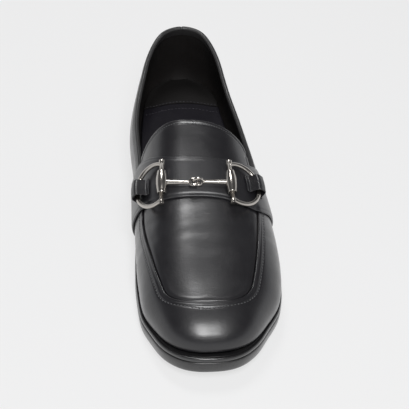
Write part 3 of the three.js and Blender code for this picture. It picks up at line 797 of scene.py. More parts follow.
CALF = LeatherFinish(
    "black_box_calf", (0.0066, 0.0061, 0.0078), (0.0098, 0.0091, 0.0113), (0.34, 0.44),
    coat=0.6, coat_roughness=0.24,
)
STRAP_CALF = LeatherFinish(
    "strap_calf", (0.0105, 0.0101, 0.0122), (0.015, 0.0145, 0.017),
    grain_depth=0.04, coat=0.45, coat_roughness=0.26,
)
BINDING_CALF = LeatherFinish(
    "collar_binding_calf", (0.02, 0.0195, 0.02), (0.03, 0.029, 0.0295), (0.4, 0.52), grain_mm=0.6,
)
LINING = LeatherFinish(
    "lining_leather", (0.0095, 0.008, 0.0078), (0.0145, 0.0125, 0.012), (0.55, 0.7),
    coat=0.0, grain_mm=0.5, grain_depth=0.04, specular=0.35,
)
SOCK = LeatherFinish(
    "heel_sock_leather", (0.006, 0.0053, 0.0052), (0.009, 0.008, 0.0078), (0.6, 0.75),
    coat=0.0, grain_mm=0.5, specular=0.25,
)
FRONT_SOCK = LeatherFinish(
    "front_sock_leather", (0.0045, 0.0037, 0.0068), (0.0065, 0.0054, 0.0095), (0.6, 0.75),
    coat=0.0, grain_mm=0.45, specular=0.25,
)
SOLE_EDGE = EdgeFinish(
    "sole_edge_ink", (0.02, 0.0195, 0.02), (0.03, 0.0295, 0.03), (0.24, 0.34),
    line_depth=0.02, scuff_depth=0.01, coat=0.3,
)
WELT_EDGE = EdgeFinish(
    "welt_ink", (0.01, 0.01, 0.011), (0.016, 0.0155, 0.016), (0.2, 0.26), line_mm=5.0,
    line_depth=0.004, scuff_depth=0.0, coat=0.7, coat_roughness=0.14,
)
HEEL_STACK = EdgeFinish(
    "heel_stack_ink", (0.016, 0.015, 0.015), (0.026, 0.025, 0.025), line_mm=1.3, line_depth=0.1,
)
RUBBER = EdgeFinish(
    "top_piece_rubber", (0.012, 0.012, 0.012), (0.018, 0.018, 0.018), (0.6, 0.8),
    line_mm=2.0, line_depth=0.02, coat=0.0,
)
GUNMETAL = MetalFinish("polished_gunmetal", (0.52, 0.49, 0.455), (0.16, 0.26))
BLACK_THREAD = ThreadFinish("black_thread", (0.095, 0.095, 0.1))
SOCK_THREAD = ThreadFinish("sock_thread", (0.05, 0.045, 0.06))


@dataclass
class Workshop:
    """Keeps the materials and joins finished pieces to the part."""

    last: Last
    made: dict[str, bpy.types.Material] = field(default_factory=dict)

    def material(self, finish: object) -> bpy.types.Material:
        """The material of a finish, made once."""
        if finish.name not in self.made:
            self.made[finish.name] = finish.material()
        return self.made[finish.name]

    def finish(self, piece: bpy.types.Object, finish: object, slot: str, *nodes: str) -> bpy.types.Object:
        """Dresses a piece and joins it to the part.

        Args:
            piece: The piece.
            finish: Its finish.
            slot: Not used.
            *nodes: The solids that it stands for.

        Returns:
            The piece.
        """
        piece.data.materials.clear()
        piece.data.materials.append(self.material(finish))
        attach(piece, "root")
        if nodes:
            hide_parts(*nodes)
        piece.data.update()
        LOG.info("%s: %d faces, %s", piece.name, len(piece.data.polygons), finish.name)
        return piece


@dataclass
class StitchRow:
    """A row of stitches along a path on the leather, made by Geometry Nodes."""

    name: str
    pitch: float = 3.2
    length: float = 2.3
    width: float = 0.34

    def tree(self, material: bpy.types.Material) -> bpy.types.GeometryNodeTree:
        """Builds the node tree, with named inputs for its sizes.

        Args:
            material: The thread's material.

        Returns:
            The tree.
        """
        tree = bpy.data.node_groups.new(self.name + "_nodes", "GeometryNodeTree")
        face = tree.interface
        face.new_socket("Geometry", in_out="INPUT", socket_type="NodeSocketGeometry")
        for name in ("Pitch", "Length", "Width"):
            face.new_socket(name, in_out="INPUT", socket_type="NodeSocketFloat")
        face.new_socket("Geometry", in_out="OUTPUT", socket_type="NodeSocketGeometry")

        node = partial(add_node, tree)
        given = node("NodeGroupInput").outputs
        path = node("GeometryNodeMeshToCurve", {"Mesh": given["Geometry"]}).outputs["Curve"]
        points = node("GeometryNodeResampleCurve", {"Curve": path, "Length": given["Pitch"]}, mode="LENGTH")
        ball = node("GeometryNodeMeshIcoSphere", {"Radius": 0.5, "Subdivisions": 2}).outputs["Mesh"]
        size = node("ShaderNodeCombineXYZ", {"X": given["Length"], "Y": given["Width"], "Z": given["Width"]})
        stitch = node("GeometryNodeTransform", {"Geometry": ball, "Scale": size.outputs["Vector"]})
        way = node("GeometryNodeInputTangent").outputs["Tangent"]
        stored = node("GeometryNodeInputNamedAttribute", {"Name": "up"}, data_type="FLOAT_VECTOR")
        up = stored.outputs["Attribute"]
        turned = node("FunctionNodeAlignRotationToVector", {"Vector": way}, axis="X")
        seated = node(
            "FunctionNodeAlignRotationToVector", {"Rotation": turned.outputs["Rotation"], "Vector": up},
            axis="Z", pivot_axis="X",
        )
        copies = node("GeometryNodeInstanceOnPoints", {
            "Points": points.outputs["Curve"], "Instance": stitch.outputs["Geometry"],
            "Rotation": seated.outputs["Rotation"],
        })
        real = node("GeometryNodeRealizeInstances", {"Geometry": copies.outputs["Instances"]})
        smooth_faces = node("GeometryNodeSetShadeSmooth", {"Geometry": real.outputs["Geometry"]})
        rounded = {"Geometry": smooth_faces.outputs["Geometry"], "Material": material}
        dressed = node("GeometryNodeSetMaterial", rounded)
        node("NodeGroupOutput", {"Geometry": dressed.outputs["Geometry"]})
        return tree

    def build(self, shop: Workshop, paths: list[tuple[Array, Array]],
              finish: ThreadFinish) -> bpy.types.Object:
        """Makes the stitches as one plain mesh.

        Args:
            shop: The workshop.
            paths: For each row, its points in millimetres and the outward directions there.
            finish: The thread.

        Returns:
            The piece.
        """
        points = np.concatenate([p for p, _ in paths])
        ups = np.concatenate([n for _, n in paths])
        starts = np.cumsum([0, *[len(p) for p, _ in paths]])
        edges = [(k, k + 1) for a, b in zip(starts, starts[1:]) for k in range(a, b - 1)]
        mesh = bpy.data.meshes.new(self.name)
        mesh.from_pydata(shop.last.to_scene(points).tolist(), edges, [])
        stored = mesh.attributes.new("up", "FLOAT_VECTOR", "POINT")
        stored.data.foreach_set("vector", ups.astype(np.float32).ravel())
        piece = put(self.name, mesh)
        modifier = piece.modifiers.new("stitches", "NODES")
        tree = self.tree(shop.material(finish))
        sizes = {"Pitch": self.pitch, "Length": self.length, "Width": self.width}
        modifier.node_group = tree
        for socket in tree.interface.items_tree:
            if socket.in_out == "INPUT" and socket.name in sizes:
                modifier[socket.identifier] = sizes[socket.name] * MM
        graph = bpy.context.evaluated_depsgraph_get()
        baked = bpy.data.meshes.new_from_object(piece.evaluated_get(graph), depsgraph=graph)
        piece.modifiers.clear()
        piece.data = baked
        return shop.finish(piece, finish, "upper_leather")


@dataclass
class UpperWork:
    """The upper: wall with its moccasin seam, apron, collar binding, lining, and their stitches."""

    shop: Workshop
    columns: int = 190
    leather: float = 1.4
    apron_leather: float = 1.2
    apron_start: float = 0.553
    apron_dip: float = 0.95
    apron_under: float = 0.4
    seam_step: float = 0.9
    seam_fade: float = 0.03
    lip_rise: float = 0.22
    lip_width: float = 1.5
    stitch_line: float = 4.4
    stitch_groove: float = 0.22
    roll: tuple[float, float, float] = (0.16, 2.6, 1.1)
    back_seam: float = 0.35
    seam_band: float = 8.5
    crease_at_seam: float = 0.35
    crease_reach: float = 9
    quarter_drop: float = 0.05
    inner_share: float = 0.6
    apron_roll: tuple[float, float, float] = (0.12, 4.0, 1.6)
    feather_depth: float = 1.3
    feather_height: float = 2.4
    binding_width: float = 5.5
    binding_step: float = 0.5
    gather_pitch: float = 3.1
    gather_height: float = 0.055
    binding_crown: float = 0.16
    binding_sink: tuple[float, float] = (0.12, 0.8)
    back_nick: float = 0.5
    fold_sink: tuple[float, float] = (0.42, 0.7)
    lining_seam: float = 0.12
    lining_slack: float = 0.09
    creases: tuple[Crease, ...] = (
        Crease((-30, -47), (22, -45), 2.0, 2.6, 0.08),
        Crease((-34, -54.5), (16, -53), 2.5, 1.2, 0.045),
        Crease((-28, -58.5), (24, -57), 1.5, 1.4, 0.05),
        Crease((-24, -63), (30, -61.5), 2.0, 1.1, 0.04),
        Crease((-36, -70), (12, -67), 3.0, 2.6, 0.08),
        Crease((-14, -78), (34, -76), -2.0, 3.2, 0.08),
        Crease((-50, -40), (-28, -52), -2.0, 2.4, 0.22),
        Crease((48, -42), (26, -55), 2.0, 2.4, 0.2),
        Crease((50, -56), (30, -66), 1.5, 2.0, 0.14),
        Crease((-52, -55), (-30, -64), -1.5, 2.2, 0.16),
    )

    def steps(self) -> Array:
        """Steps round one side, with one exactly at the throat."""
        throat = float(step_of(self.shop.last.throat_along))
        before = round(throat * self.columns)
        back = np.linspace(0, throat, before + 1)
        return np.concatenate([back, np.linspace(throat, 1, self.columns - before + 1)[1:]])

    def relief(self, points: Array) -> Array:
        """All listed creases together."""
        return sum(crease.relief(points) for crease in self.creases)

    def column_turns(self, side: Array, step: Array, low: Array, high: Array,
                     away: Callable) -> tuple[Array, Array]:
        """Turns in each column at chosen distances from its edge.

        Args:
            side: Sign for each column.
            step: Step of each column.
            low: Turn at the start of each column.
            high: Turn at its end.
            away: Takes a column's length and gives its distances from the end, falling.

        Returns:
            Turns and distances, columns by rows.
        """
        t = low[:, None] + (high - low)[:, None] * np.linspace(0, 1, 90)[None, :] ** 1.2
        p = self.shop.last.point(side[:, None], step[:, None], t)
        gone = np.cumsum(np.linalg.norm(np.diff(p, axis=1), axis=-1), 1)
        s = np.concatenate([np.zeros((len(t), 1)), gone], 1)
        rows = [away(length) for length in s[:, -1]]
        turns = [np.interp(length - d, s[k], t[k]) for k, (length, d) in enumerate(zip(s[:, -1], rows))]
        return np.array(turns), np.array(rows)

    def loop_columns(self) -> tuple[Array, Array]:
        """Signs and steps of the columns round the whole shoe."""
        return round_the_shoe(self.steps())

    def wall(self) -> None:
        """Vamp wall and quarters: a raised lip and a stitched groove at the seam, and a tuck at the foot."""
        last = self.shop.last
        side, step = self.loop_columns()
        top = last.edge_turn(side, step)
        near, rest = np.linspace(0, self.seam_band, 26), 1 - (1 - np.linspace(0, 1, 30)[1:]) ** 1.7

        def away(length: float) -> Array:
            """Distances from the edge, closest together along the seam and at the foot."""
            return np.concatenate([near, near[-1] + (length - near[-1]) * rest])[::-1]

        turn, d = self.column_turns(side, step, np.zeros_like(top), top, away)
        side_, step_ = side[:, None], step[:, None]
        along = along_of(step_)
        front = smooth((along - last.throat_along) / self.seam_fade)
        base = last.point(side_, step_, turn)
        rise = base[..., 2] - last.foot_z(along)
        away_mm = front * self.lip_rise * smooth(1 - d / self.lip_width)
        away_mm = away_mm - front * self.stitch_groove * hump(d, self.stitch_line, 0.75)
        away_mm = away_mm + front * self.roll[0] * hump(d, *self.roll[1:])
        sink, reach = self.binding_sink
        away_mm = away_mm - (1 - front) * sink * smooth(1 - (d - self.binding_width) / reach)
        away_mm = away_mm - self.feather_depth * np.clip(1 - rise / self.feather_height, 0, 1) ** 2
        away_mm = away_mm - self.back_seam * hump(step_ * 1000, 0, 4.0) * (rise > 4)
        fade = self.crease_at_seam + (1 - self.crease_at_seam) * smooth(d / self.crease_reach)
        away_mm = away_mm + self.relief(base) * fade
        drop = np.where(along < last.throat_along, self.quarter_drop, 0)
        outer = last.off(side_, step_, turn, away_mm - drop)
        inner = last.off(side_, step_, turn, np.minimum(away_mm, 0) * self.inner_share - self.leather)
        shape = Shape()
        shape.tube(rounded_loops(outer, inner, 5), wrap=True)
        self.shop.finish(shape.piece("vamp_and_quarters", last, flip=True), CALF, "upper_leather", "upper")

    def apron(self) -> None:
        """The apron: it dips under the vamp's lip all along the seam and carries the vamp's creases."""
        last = self.shop.last
        steps = self.steps()
        steps = steps[steps >= float(step_of(self.apron_start))]
        side = np.concatenate([np.ones(len(steps)), -np.ones(len(steps) - 1)])
        step = np.concatenate([steps, steps[:-1][::-1]])
        top = last.seam_turn(side, step)

        def away(length: float) -> Array:
            """Distances from the ridge, closest together at the seam."""
            edge = np.linspace(0, 4.5, 12)
            middle = 4.5 + (length - 4.5) * np.linspace(0, 1, 34)[1:]
            return length - np.concatenate([edge, middle])

        tuck = 0.022
        turn, _ = self.column_turns(side, step, top - tuck, np.ones_like(top), away)
        base = last.point(side[:, None], step[:, None], turn)
        start = last.point(side, step, top)
        d = np.linalg.norm(base - start[:, None], axis=-1)
        d = np.where(turn < top[:, None], -d, d)
        dip = self.apron_dip * smooth(1 - (d + self.apron_under) / 2.2)
        roll = self.apron_roll[0] * hump(d, *self.apron_roll[1:])
        away_mm = -self.seam_step - dip + roll + self.relief(base) * smooth((d - 1) / 4)
        outer = last.off(side[:, None], step[:, None], turn, away_mm)
        shape = Shape()
        shape.grid(outer)
        piece = shape.piece("apron", last)
        thicken(piece, self.apron_leather)
        self.shop.finish(piece, CALF, "upper_leather", "upper")

    def collar_columns(self) -> tuple[Array, Array]:
        """Signs and steps along the collar, from the lateral throat round the heel to the medial one."""
        steps = self.steps()
        steps = steps[steps <= float(step_of(self.shop.last.throat_along))]
        side = np.concatenate([np.ones(len(steps)), -np.ones(len(steps) - 1)])
        return side, np.concatenate([steps[::-1], steps[1:]])

    def binding(self) -> None:
        """Collar binding: a folded strip over the edge with fine gathers and a small nick at the back."""
        last = self.shop.last
        side, step = self.collar_columns()
        top = last.collar_turn(side, step)
        near = np.linspace(0, self.binding_width, 15)[::-1]
        turn, d = self.column_turns(side, step, top * 0.6, top, lambda length: near)
        side_, step_ = side[:, None], step[:, None]
        base = last.point(side_, step_, turn)
        run = np.concatenate([[0], np.cumsum(np.linalg.norm(np.diff(base[:, -1], axis=0), axis=-1))])[:, None]
        gather_phase = 2 * np.pi * (run + 0.9 * d) / self.gather_pitch
        gather = self.gather_height * np.sin(gather_phase) * smooth(d / 1.5)
        crown = self.binding_crown * np.sin(np.pi * np.clip(d / self.binding_width, 0, 1))
        nick = -self.back_nick * hump(step_ * 1000, 0, 3.0) * smooth(1 - d / 3)
        sink, reach = self.fold_sink
        fold = -sink * smooth(1 - (self.binding_width - d) / reach)
        outer = last.off(side_, step_, turn, self.binding_step + crown + gather + nick + fold)
        inner = last.off(side_, step_, turn, -last.wall - 0.35 - 0.5 * crown - 0.6 * gather - nick)
        inner[..., 2] = inner[..., 2] - 0.1
        shape = Shape()
        shape.tube(rounded_loops(outer, inner, 7), caps=True)
        self.shop.finish(shape.piece("collar_binding", last), BINDING_CALF, "upper_leather", "upper")

    def lining(self) -> None:
        """Lining of the wall, from the insole up to the collar and over the vamp."""
        last = self.shop.last
        side, step = self.loop_columns()
        top = last.edge_turn(side, step)
        behind = along_of(step) < last.throat_along
        turn, d = self.column_turns(side, step, np.full_like(top, 0.002), np.where(behind, top * 0.985, top),
                                    lambda length: length * (1 - np.linspace(0, 1, 44)))
        side_, step_ = side[:, None], step[:, None]
        seam = self.lining_seam * hump(step_ * 1000, 0, 3.5)
        slack = self.lining_slack * np.sin(step_ * 46 + turn * 9) * smooth(d / 12)
        outer = last.off(side_, step_, turn, -1.5 * np.ones_like(turn))
        inner = last.off(side_, step_, turn, -last.wall + seam + slack)
        shape = Shape()
        shape.tube(rounded_loops(outer, inner, 3), wrap=True)
        self.shop.finish(shape.piece("lining", last, flip=True), LINING, "lining_leather", "upper")

    def seam_path(self, away: float, lift: float, start: float, end: float) -> list[tuple[Array, Array]]:
        """A line on the wall at a distance from its edge.

        Args:
            away: Distance below the edge.
            lift: Height above the surface.
            start: Share along the shoe where the line begins.
            end: Share where it ends.

        Returns:
            One path round the toe, or one each side, as points and outward directions.
        """
        last = self.shop.last
        steps = np.linspace(float(step_of(start)), float(step_of(end)), 260)
        paths = []
        for sign in (1.0, -1.0):
            side = np.full(steps.shape, sign)
            top = last.edge_turn(side, steps)
            turn, _ = self.column_turns(side, steps, np.zeros_like(top), top, lambda length: np.array([away]))
            turn = turn[:, 0]
            normal = last.normal(side, steps, turn)
            paths.append((last.point(side, steps, turn) + normal * lift, normal))
        if end >= 1:
            (a, n), (b, m) = paths
            return [(np.concatenate([a, b[:-1][::-1]]), np.concatenate([n, m[:-1][::-1]]))]
        return paths

    def stitches(self) -> None:
        """Stitches along the moccasin seam and under the collar binding."""
        seam = self.seam_path(self.stitch_line, -self.stitch_groove + 0.3, 0.6, 1.0)
        StitchRow("seam_stitches", 2.4, 1.5, 0.72).build(self.shop, seam, BLACK_THREAD)
        (a, n), (b, m) = self.seam_path(self.binding_width + 0.9, 0.05, 0.0, 0.52)
        collar = [(np.concatenate([a[::-1], b[1:]]), np.concatenate([n[::-1], m[1:]]))]
        StitchRow("collar_stitches", 2.4, 1.7, 0.38).build(self.shop, collar, BLACK_THREAD)

    def build(self) -> None:
        """Makes the upper's pieces."""
        self.wall()
        self.apron()
        self.binding()
        self.lining()
        self.stitches()


@dataclass
class TongueWork:
    """The tongue: the free end of the apron with a folded, stitched edge."""

    shop: Workshop
    start: float = 0.574
    end: float = 0.453
    slant: float = 0.014
    corner: float = 0.034
    power: float = 5.5
    drop: float = 0.2
    thickness: float = 2.6
    lateral_turn: float = 0.45
    medial_turn: float = 0.28
    clearance: float = 0.035
    stitch_inset: float = 2.1
    edge_rise: float = 0.22
    edge_fall: float = 0.15
    lining_gap: float = 0.5
    stitch_lift: float = -0.08
    creases: tuple[Crease, ...] = (
        Crease((-34, 2.5), (24, 4.5), 1.5, 1.6, 0.05),
        Crease((-30, 8.5), (20, 8.0), 1.0, 2.4, 0.03),
    )

    def place(self, w: Array, v: Array) -> tuple[Array, Array, Array]:
        """Side, step and turn of a place on the tongue.

        Args:
            w: Way across, from -1 at the inner edge to 1 at the outer.
            v: Way from under the strap, 0, to the free end, 1.

        Returns:
            Side, step and turn.
        """
        last = self.shop.last
        side, u = np.where(w < 0, -1.0, 1.0), np.abs(w)
        round_off = 1 - (1 - u**self.power) ** (1 / self.power)
        end = self.end + side * self.slant * u + self.corner * round_off
        step = step_of(self.start + (end - self.start) * v)
        throat = float(step_of(last.throat_along))
        quarter = last.collar_turn(side, np.minimum(step, throat - 0.001))
        edge = np.maximum(np.where(side > 0, self.lateral_turn, self.medial_turn), quarter + self.clearance)
        return side, step, 1 - u * (1 - edge)

    def build(self) -> None:
        """Makes the tongue and the stitches inside its edge."""
        last = self.shop.last
        x = np.linspace(-1, 1, 121)
        across = np.sign(x) * (1 - (1 - np.abs(x)) ** 1.35)
        deep = 1 - (1 - np.linspace(0, 1, 60)) ** 1.3
        w, v = np.meshgrid(across, deep, indexing="ij")
        side, step, turn = self.place(w, v)
        base = last.off(side, step, turn, -self.drop, "ridge")
        rim = np.concatenate([base[0], base[:, -1], base[-1][::-1]])
        flat = base.reshape(-1, 3)
        d = np.min(np.linalg.norm(flat[:, None, :2] - rim[None, ::2, :2], axis=-1), 1).reshape(w.shape)
        raised = self.edge_rise * (smooth(1 - (d - 0.9) / 0.9) - hump(d, self.stitch_inset, 0.5))
        raised = raised + sum(c.relief(base) for c in self.creases) - self.edge_fall * smooth(1 - d / 0.7)
        outer = last.off(side, step, turn, raised - self.drop, "ridge")
        inner = last.off(side, step, turn, -self.drop - self.thickness + self.lining_gap, "ridge")
        shape = Shape()
        loops = rounded_loops(outer.swapaxes(0, 1), inner.swapaxes(0, 1), 5)
        shape.tube(rounded_ends(loops, self.thickness - self.lining_gap))
        self.shop.finish(shape.piece("tongue_leather", last), CALF, "upper_leather", "tongue")
        self.stitches()

    def stitches(self) -> None:
        """A row of stitches inside the free edge."""
        last = self.shop.last
        x = np.linspace(-0.968, 0.968, 300)
        bend = 0.955 - 0.012 * np.abs(x) ** 6
        spot = self.place(x, bend)
        path = last.off(*spot, -self.drop + self.stitch_lift, "ridge")
        normal = last.normal(*spot, "ridge")
        StitchRow("tongue_stitches", 1.9, 1.2, 0.5).build(self.shop, [(path, normal)], BLACK_THREAD)


@dataclass
class StrapWork:
    """The saddle strap over the instep, with creased edges."""

    shop: Workshop
    thickness: float = 1.8
    foot_turn: float = 0.012
    front_sink: float = 0.8
    edge_sink: float = 0.35
    edge_line: float = 1.5
    line_depth: float = 0.14
    foot_tuck: float = 1.6
    foot_height: float = 3.0
    front_reach: float = 7
    edge_reach: float = 3
    edges: Table = Table("turn back_lateral back_medial front_lateral front_medial", (
        (0, 0.47, 0.455, 0.59, 0.58), (0.15, 0.488, 0.466, 0.611, 0.594), (0.3, 0.503, 0.472, 0.632, 0.605),
        (0.5, 0.532, 0.5, 0.654, 0.62), (0.7, 0.546, 0.526, 0.653, 0.632), (0.85, 0.547, 0.538, 0.645, 0.637),
        (1, 0.543, 0.543, 0.639, 0.639),
    ))

    def edge(self, side: Array, turn: Array, name: str) -> Array:
        """Place along the shoe of one edge of the strap."""
        lateral, medial = (self.edges.at(f"{name}_{word}", turn) for word in ("lateral", "medial"))
        return np.where(side > 0, lateral, medial)

    def build(self) -> None:
        """Makes the strap, from welt to welt."""
        last = self.shop.last
        x = np.linspace(-1, 1, 221)
        side = np.where(x < 0, -1.0, 1.0)[:, None]
        turn = (self.foot_turn + (1 - self.foot_turn) * (1 - np.abs(x)) ** 1.7)[:, None]
        v = (1 - np.cos(np.pi * np.linspace(0, 1, 46)))[None, :] / 2
        back, front = self.edge(side, turn, "back"), self.edge(side, turn, "front")
        along = front + (back - front) * v
        step = step_of(along)
        top = last.gap + self.thickness
        width = np.abs(back - front) * last.upper_length
        d = np.minimum(v, 1 - v) * width
        turn_, side_ = np.broadcast_to(turn, d.shape), np.broadcast_to(side, d.shape)
        base = last.point(side_, step, turn_)
        rise = base[..., 2] - last.foot_z(along)
        tuck = self.foot_tuck * np.clip(1 - rise / self.foot_height, 0, 1) ** 1.5
        on_apron = smooth((turn - last.seam_turn(side, step_of(front))) / 0.05)
        sink = self.front_sink * on_apron * smooth(1 - v * width / self.front_reach)
        sink = sink + self.edge_sink * smooth(1 - d / self.edge_reach)
        line = -self.line_depth * hump(d, self.edge_line, 0.45) + 0.03 * hump(d, 0.6, 0.5)
        outer = last.off(side_, step, turn_, top + line - tuck - sink)
        inner = last.off(side_, step, turn_, last.gap - np.minimum(tuck, last.gap + 0.9) - sink * on_apron)
        shape = Shape()
        loops = rounded_loops(outer, inner, 5)
        shape.tube(rounded_ends(loops, self.thickness))
        self.shop.finish(shape.piece("strap_leather", last), STRAP_CALF, "upper_leather", "saddle_strap")


@dataclass
class BitWork:
    """The snaffle bit: two cast halves, and the keepers that hold their rings."""

    shop: Workshop
    strap_top: float = 2.1
    ring_radius: float = 15.5
    ring_chord: float = 7.5
    wire: float = 1.5
    pin_length: float = 34
    hub_length: float = 17
    hub_radius: float = 4
    hub_clear: float = 1.0
    ring_swell: float = 0.12
    pin_end: tuple[tuple[float, float], ...] = (
        (0, 1.6), (0.02, 1.85), (0.08, 1.97), (0.2, 2.0), (2.9, 2.0), (3.1, 1.95), (3.16, 1.5),
    )
    ring_clear: float = 2.2
    arm: float = 2.1
    arm_end: float = 1.4
    loop_radius: float = 3.1
    loop_wire: float = 1.05
    link_along: float = 0.614
    keeper_width: float = 11
    keeper_thickness: float = 1.4
    keeper_crown: tuple[float, float] = (0.3, 4.5)
    keeper_sink: float = 0.2
    hub_spots: dict[Side, tuple[float, float]] = field(
        default_factory=lambda: {Side.LATERAL: (0.614, 0.802), Side.MEDIAL: (0.602, 0.733)})
    ring_spots: dict[Side, tuple[float, float]] = field(
        default_factory=lambda: {Side.LATERAL: (0.606, 0.52), Side.MEDIAL: (0.588, 0.495)})
    keeper_spots: dict[Side, float] = field(default_factory=lambda: {Side.LATERAL: 0.598, Side.MEDIAL: 0.581})
    hub_profile: Table = Table("at radius", (
        (-0.5, 0.66), (-0.497, 0.74), (-0.485, 0.77), (-0.4, 0.83), (-0.2, 0.96), (0, 1.0), (0.2, 0.96),
        (0.4, 0.83), (0.485, 0.77), (0.497, 0.74), (0.5, 0.66),
    ))
    arch: Table = Table("away share", (
        (-8, 0), (-6.3, 0.03), (-5.1, 0.47), (-3.6, 1.06), (-0.6, 1.16), (1.9, 1), (2.7, 0.55), (3.5, 0.04),
        (4.6, 0),
    ))

    def at(self, side: Side, along: float, turn: float, away: float) -> Array:
        """One point off the last."""
        return self.shop.last.off(np.array(float(side.value)), step_of(along), np.array(float(turn)), away)

    def ring_frame(self, side: Side) -> tuple[Array, Array, Array, Array]:
        """The ring's frame.

        Args:
            side: Side of the shoe.

        Returns:
            The hub's middle, the way out to the ring's far end, the way of the pin to the heel, and up.
        """
        along, turn = self.hub_spots[side]
        lift = self.strap_top + self.hub_clear + self.hub_radius
        hub = self.at(side, along, turn, lift)
        far = self.at(side, *self.ring_spots[side], self.strap_top + self.ring_clear + self.wire)
        out = unit(far - hub)
        pin = unit(self.at(side, along - 0.05, turn, lift) - self.at(side, along + 0.05, turn, lift))
        pin = unit(pin - out * (pin @ out))
        return hub, out, pin, unit(np.cross(out, pin) * side.value)

    def half(self, side: Side) -> None:
        """One half: D ring, pin with collars, barrel hub, tapered arm and end loop."""
        last = self.shop.last
        hub, out, pin, up = self.ring_frame(side)
        shape = Shape()

        def bar(points: Array, radii: Array, corner: Array, loop: bool = False, sides: int = 24) -> None:
            """Adds one closed bar."""
            sections = round_bar(np.array(points), np.array(radii), corner, sides, loop)
            shape.tube(sections, wrap=loop, caps=not loop)

        reach = math.pi - math.acos(self.ring_chord / self.ring_radius)
        angles = np.linspace(-reach, reach, 90)
        radius = self.ring_radius
        ring = [
            hub + out * (self.ring_chord + radius * math.cos(a)) + pin * radius * math.sin(a) for a in angles
        ]
        swell = 1 + self.ring_swell * np.cos(angles / 2) ** 2
        bar(ring, self.wire * swell, up)
        half = self.pin_length / 2
        line = [(a - half, r) for a, r in self.pin_end] + [(half - a, r) for a, r in self.pin_end[::-1]]
        bar([hub + pin * a for a, _ in line], [r for _, r in line], up)
        at = np.concatenate([[-0.5, -0.497], np.linspace(-0.485, 0.485, 41), [0.497, 0.5]])
        barrel = self.hub_profile.at("radius", at) * self.hub_radius
        bar([hub + pin * a * self.hub_length for a in at], barrel, up, sides=32)
        lift = self.strap_top + last.gap + self.loop_radius + self.loop_wire
        link = self.at(Side.LATERAL, self.link_along, 1, lift)
        to_hub = hub - link
        to_hub[1] = 0
        to_hub = unit(to_hub)
        centre = link + to_hub * self.loop_radius / 2
        arm_end = centre + to_hub * self.loop_radius
        t = np.linspace(0, 1, 24)
        arm = [hub + (arm_end - hub) * x for x in t]
        bar(arm, self.arm + (self.arm_end - self.arm) * t, up)
        plane = np.array([0.0, 0.0, 1.0]) if side is Side.LATERAL else np.array([0.0, 1.0, 0.0])
        plane = unit(plane - to_hub * (plane @ to_hub))
        around = np.linspace(0, 2 * np.pi, 40, endpoint=False)
        loop = [centre + self.loop_radius * (to_hub * math.cos(a) + plane * math.sin(a)) for a in around]
        bar(loop, np.full(40, self.loop_wire), np.cross(to_hub, plane), loop=True, sides=16)
        name = side.name.lower()
        piece = shape.piece(f"bit_cast_{name}", last)
        self.shop.finish(piece, GUNMETAL, "bit_metal", f"bit_half_{name}")

    def keeper(self, side: Side) -> None:
        """A leather band over the far end of one ring, its two feet on the strap."""
        last = self.shop.last
        along = self.keeper_spots[side]
        hub, out, _, _ = self.ring_frame(side)
        wire = hub + out * (self.ring_chord + self.ring_radius)

        def seat(turn: Array) -> Array:
            """The top of the strap under the ring's end."""
            turn = np.asarray(turn, float)
            return last.off(np.full(turn.shape, float(side.value)), step_of(along), turn, self.strap_top)

        def nearer(turn: Array) -> Array:
            """True while the wire gets nearer."""
            ahead, here = seat(turn + 0.001), seat(turn)
            return np.linalg.norm(ahead - wire, axis=-1) < np.linalg.norm(here - wire, axis=-1)

        middle = float(turn_where(nearer, (), 0.1, 0.9))
        per_turn = np.linalg.norm(seat(middle - 0.03) - seat(middle + 0.03)) / 0.06
        rise = np.linalg.norm(wire - seat(middle)) + self.wire
        ends = self.arch.rows[0][0], self.arch.rows[-1][0]
        away = np.linspace(*ends, 60)[:, None]
        across = np.linspace(-0.5, 0.5, 20)[None, :]
        turn = middle - away / per_turn + 0 * across
        step = step_of(along + across * self.keeper_width / last.upper_length) + 0 * away
        sign = np.full(turn.shape, float(side.value))
        low = self.strap_top + last.gap + rise * np.clip(self.arch.at("share", away), 0, 2) + 0 * across
        d = (0.5 - np.abs(across)) * self.keeper_width
        crown, reach = self.keeper_crown
        line = crown * smooth(d / reach) - 0.03 * hump(d, 1.3, 0.4) + 0 * away
        outer = last.off(sign, step, turn, low + self.keeper_thickness - self.keeper_sink + line)
        inner = last.off(sign, step, turn, low)
        shape = Shape()
        shape.tube(rounded_ends(rounded_loops(outer, inner, 4), self.keeper_thickness))
        name = side.name.lower()
        piece = shape.piece(f"keeper_leather_{name}", last, flip=side is Side.MEDIAL)
        self.shop.finish(piece, STRAP_CALF, "upper_leather", f"keeper_{name}")

    def build(self) -> None:
        """Makes both halves and both keepers."""
        for side in Side:
            self.half(side)
            self.keeper(side)


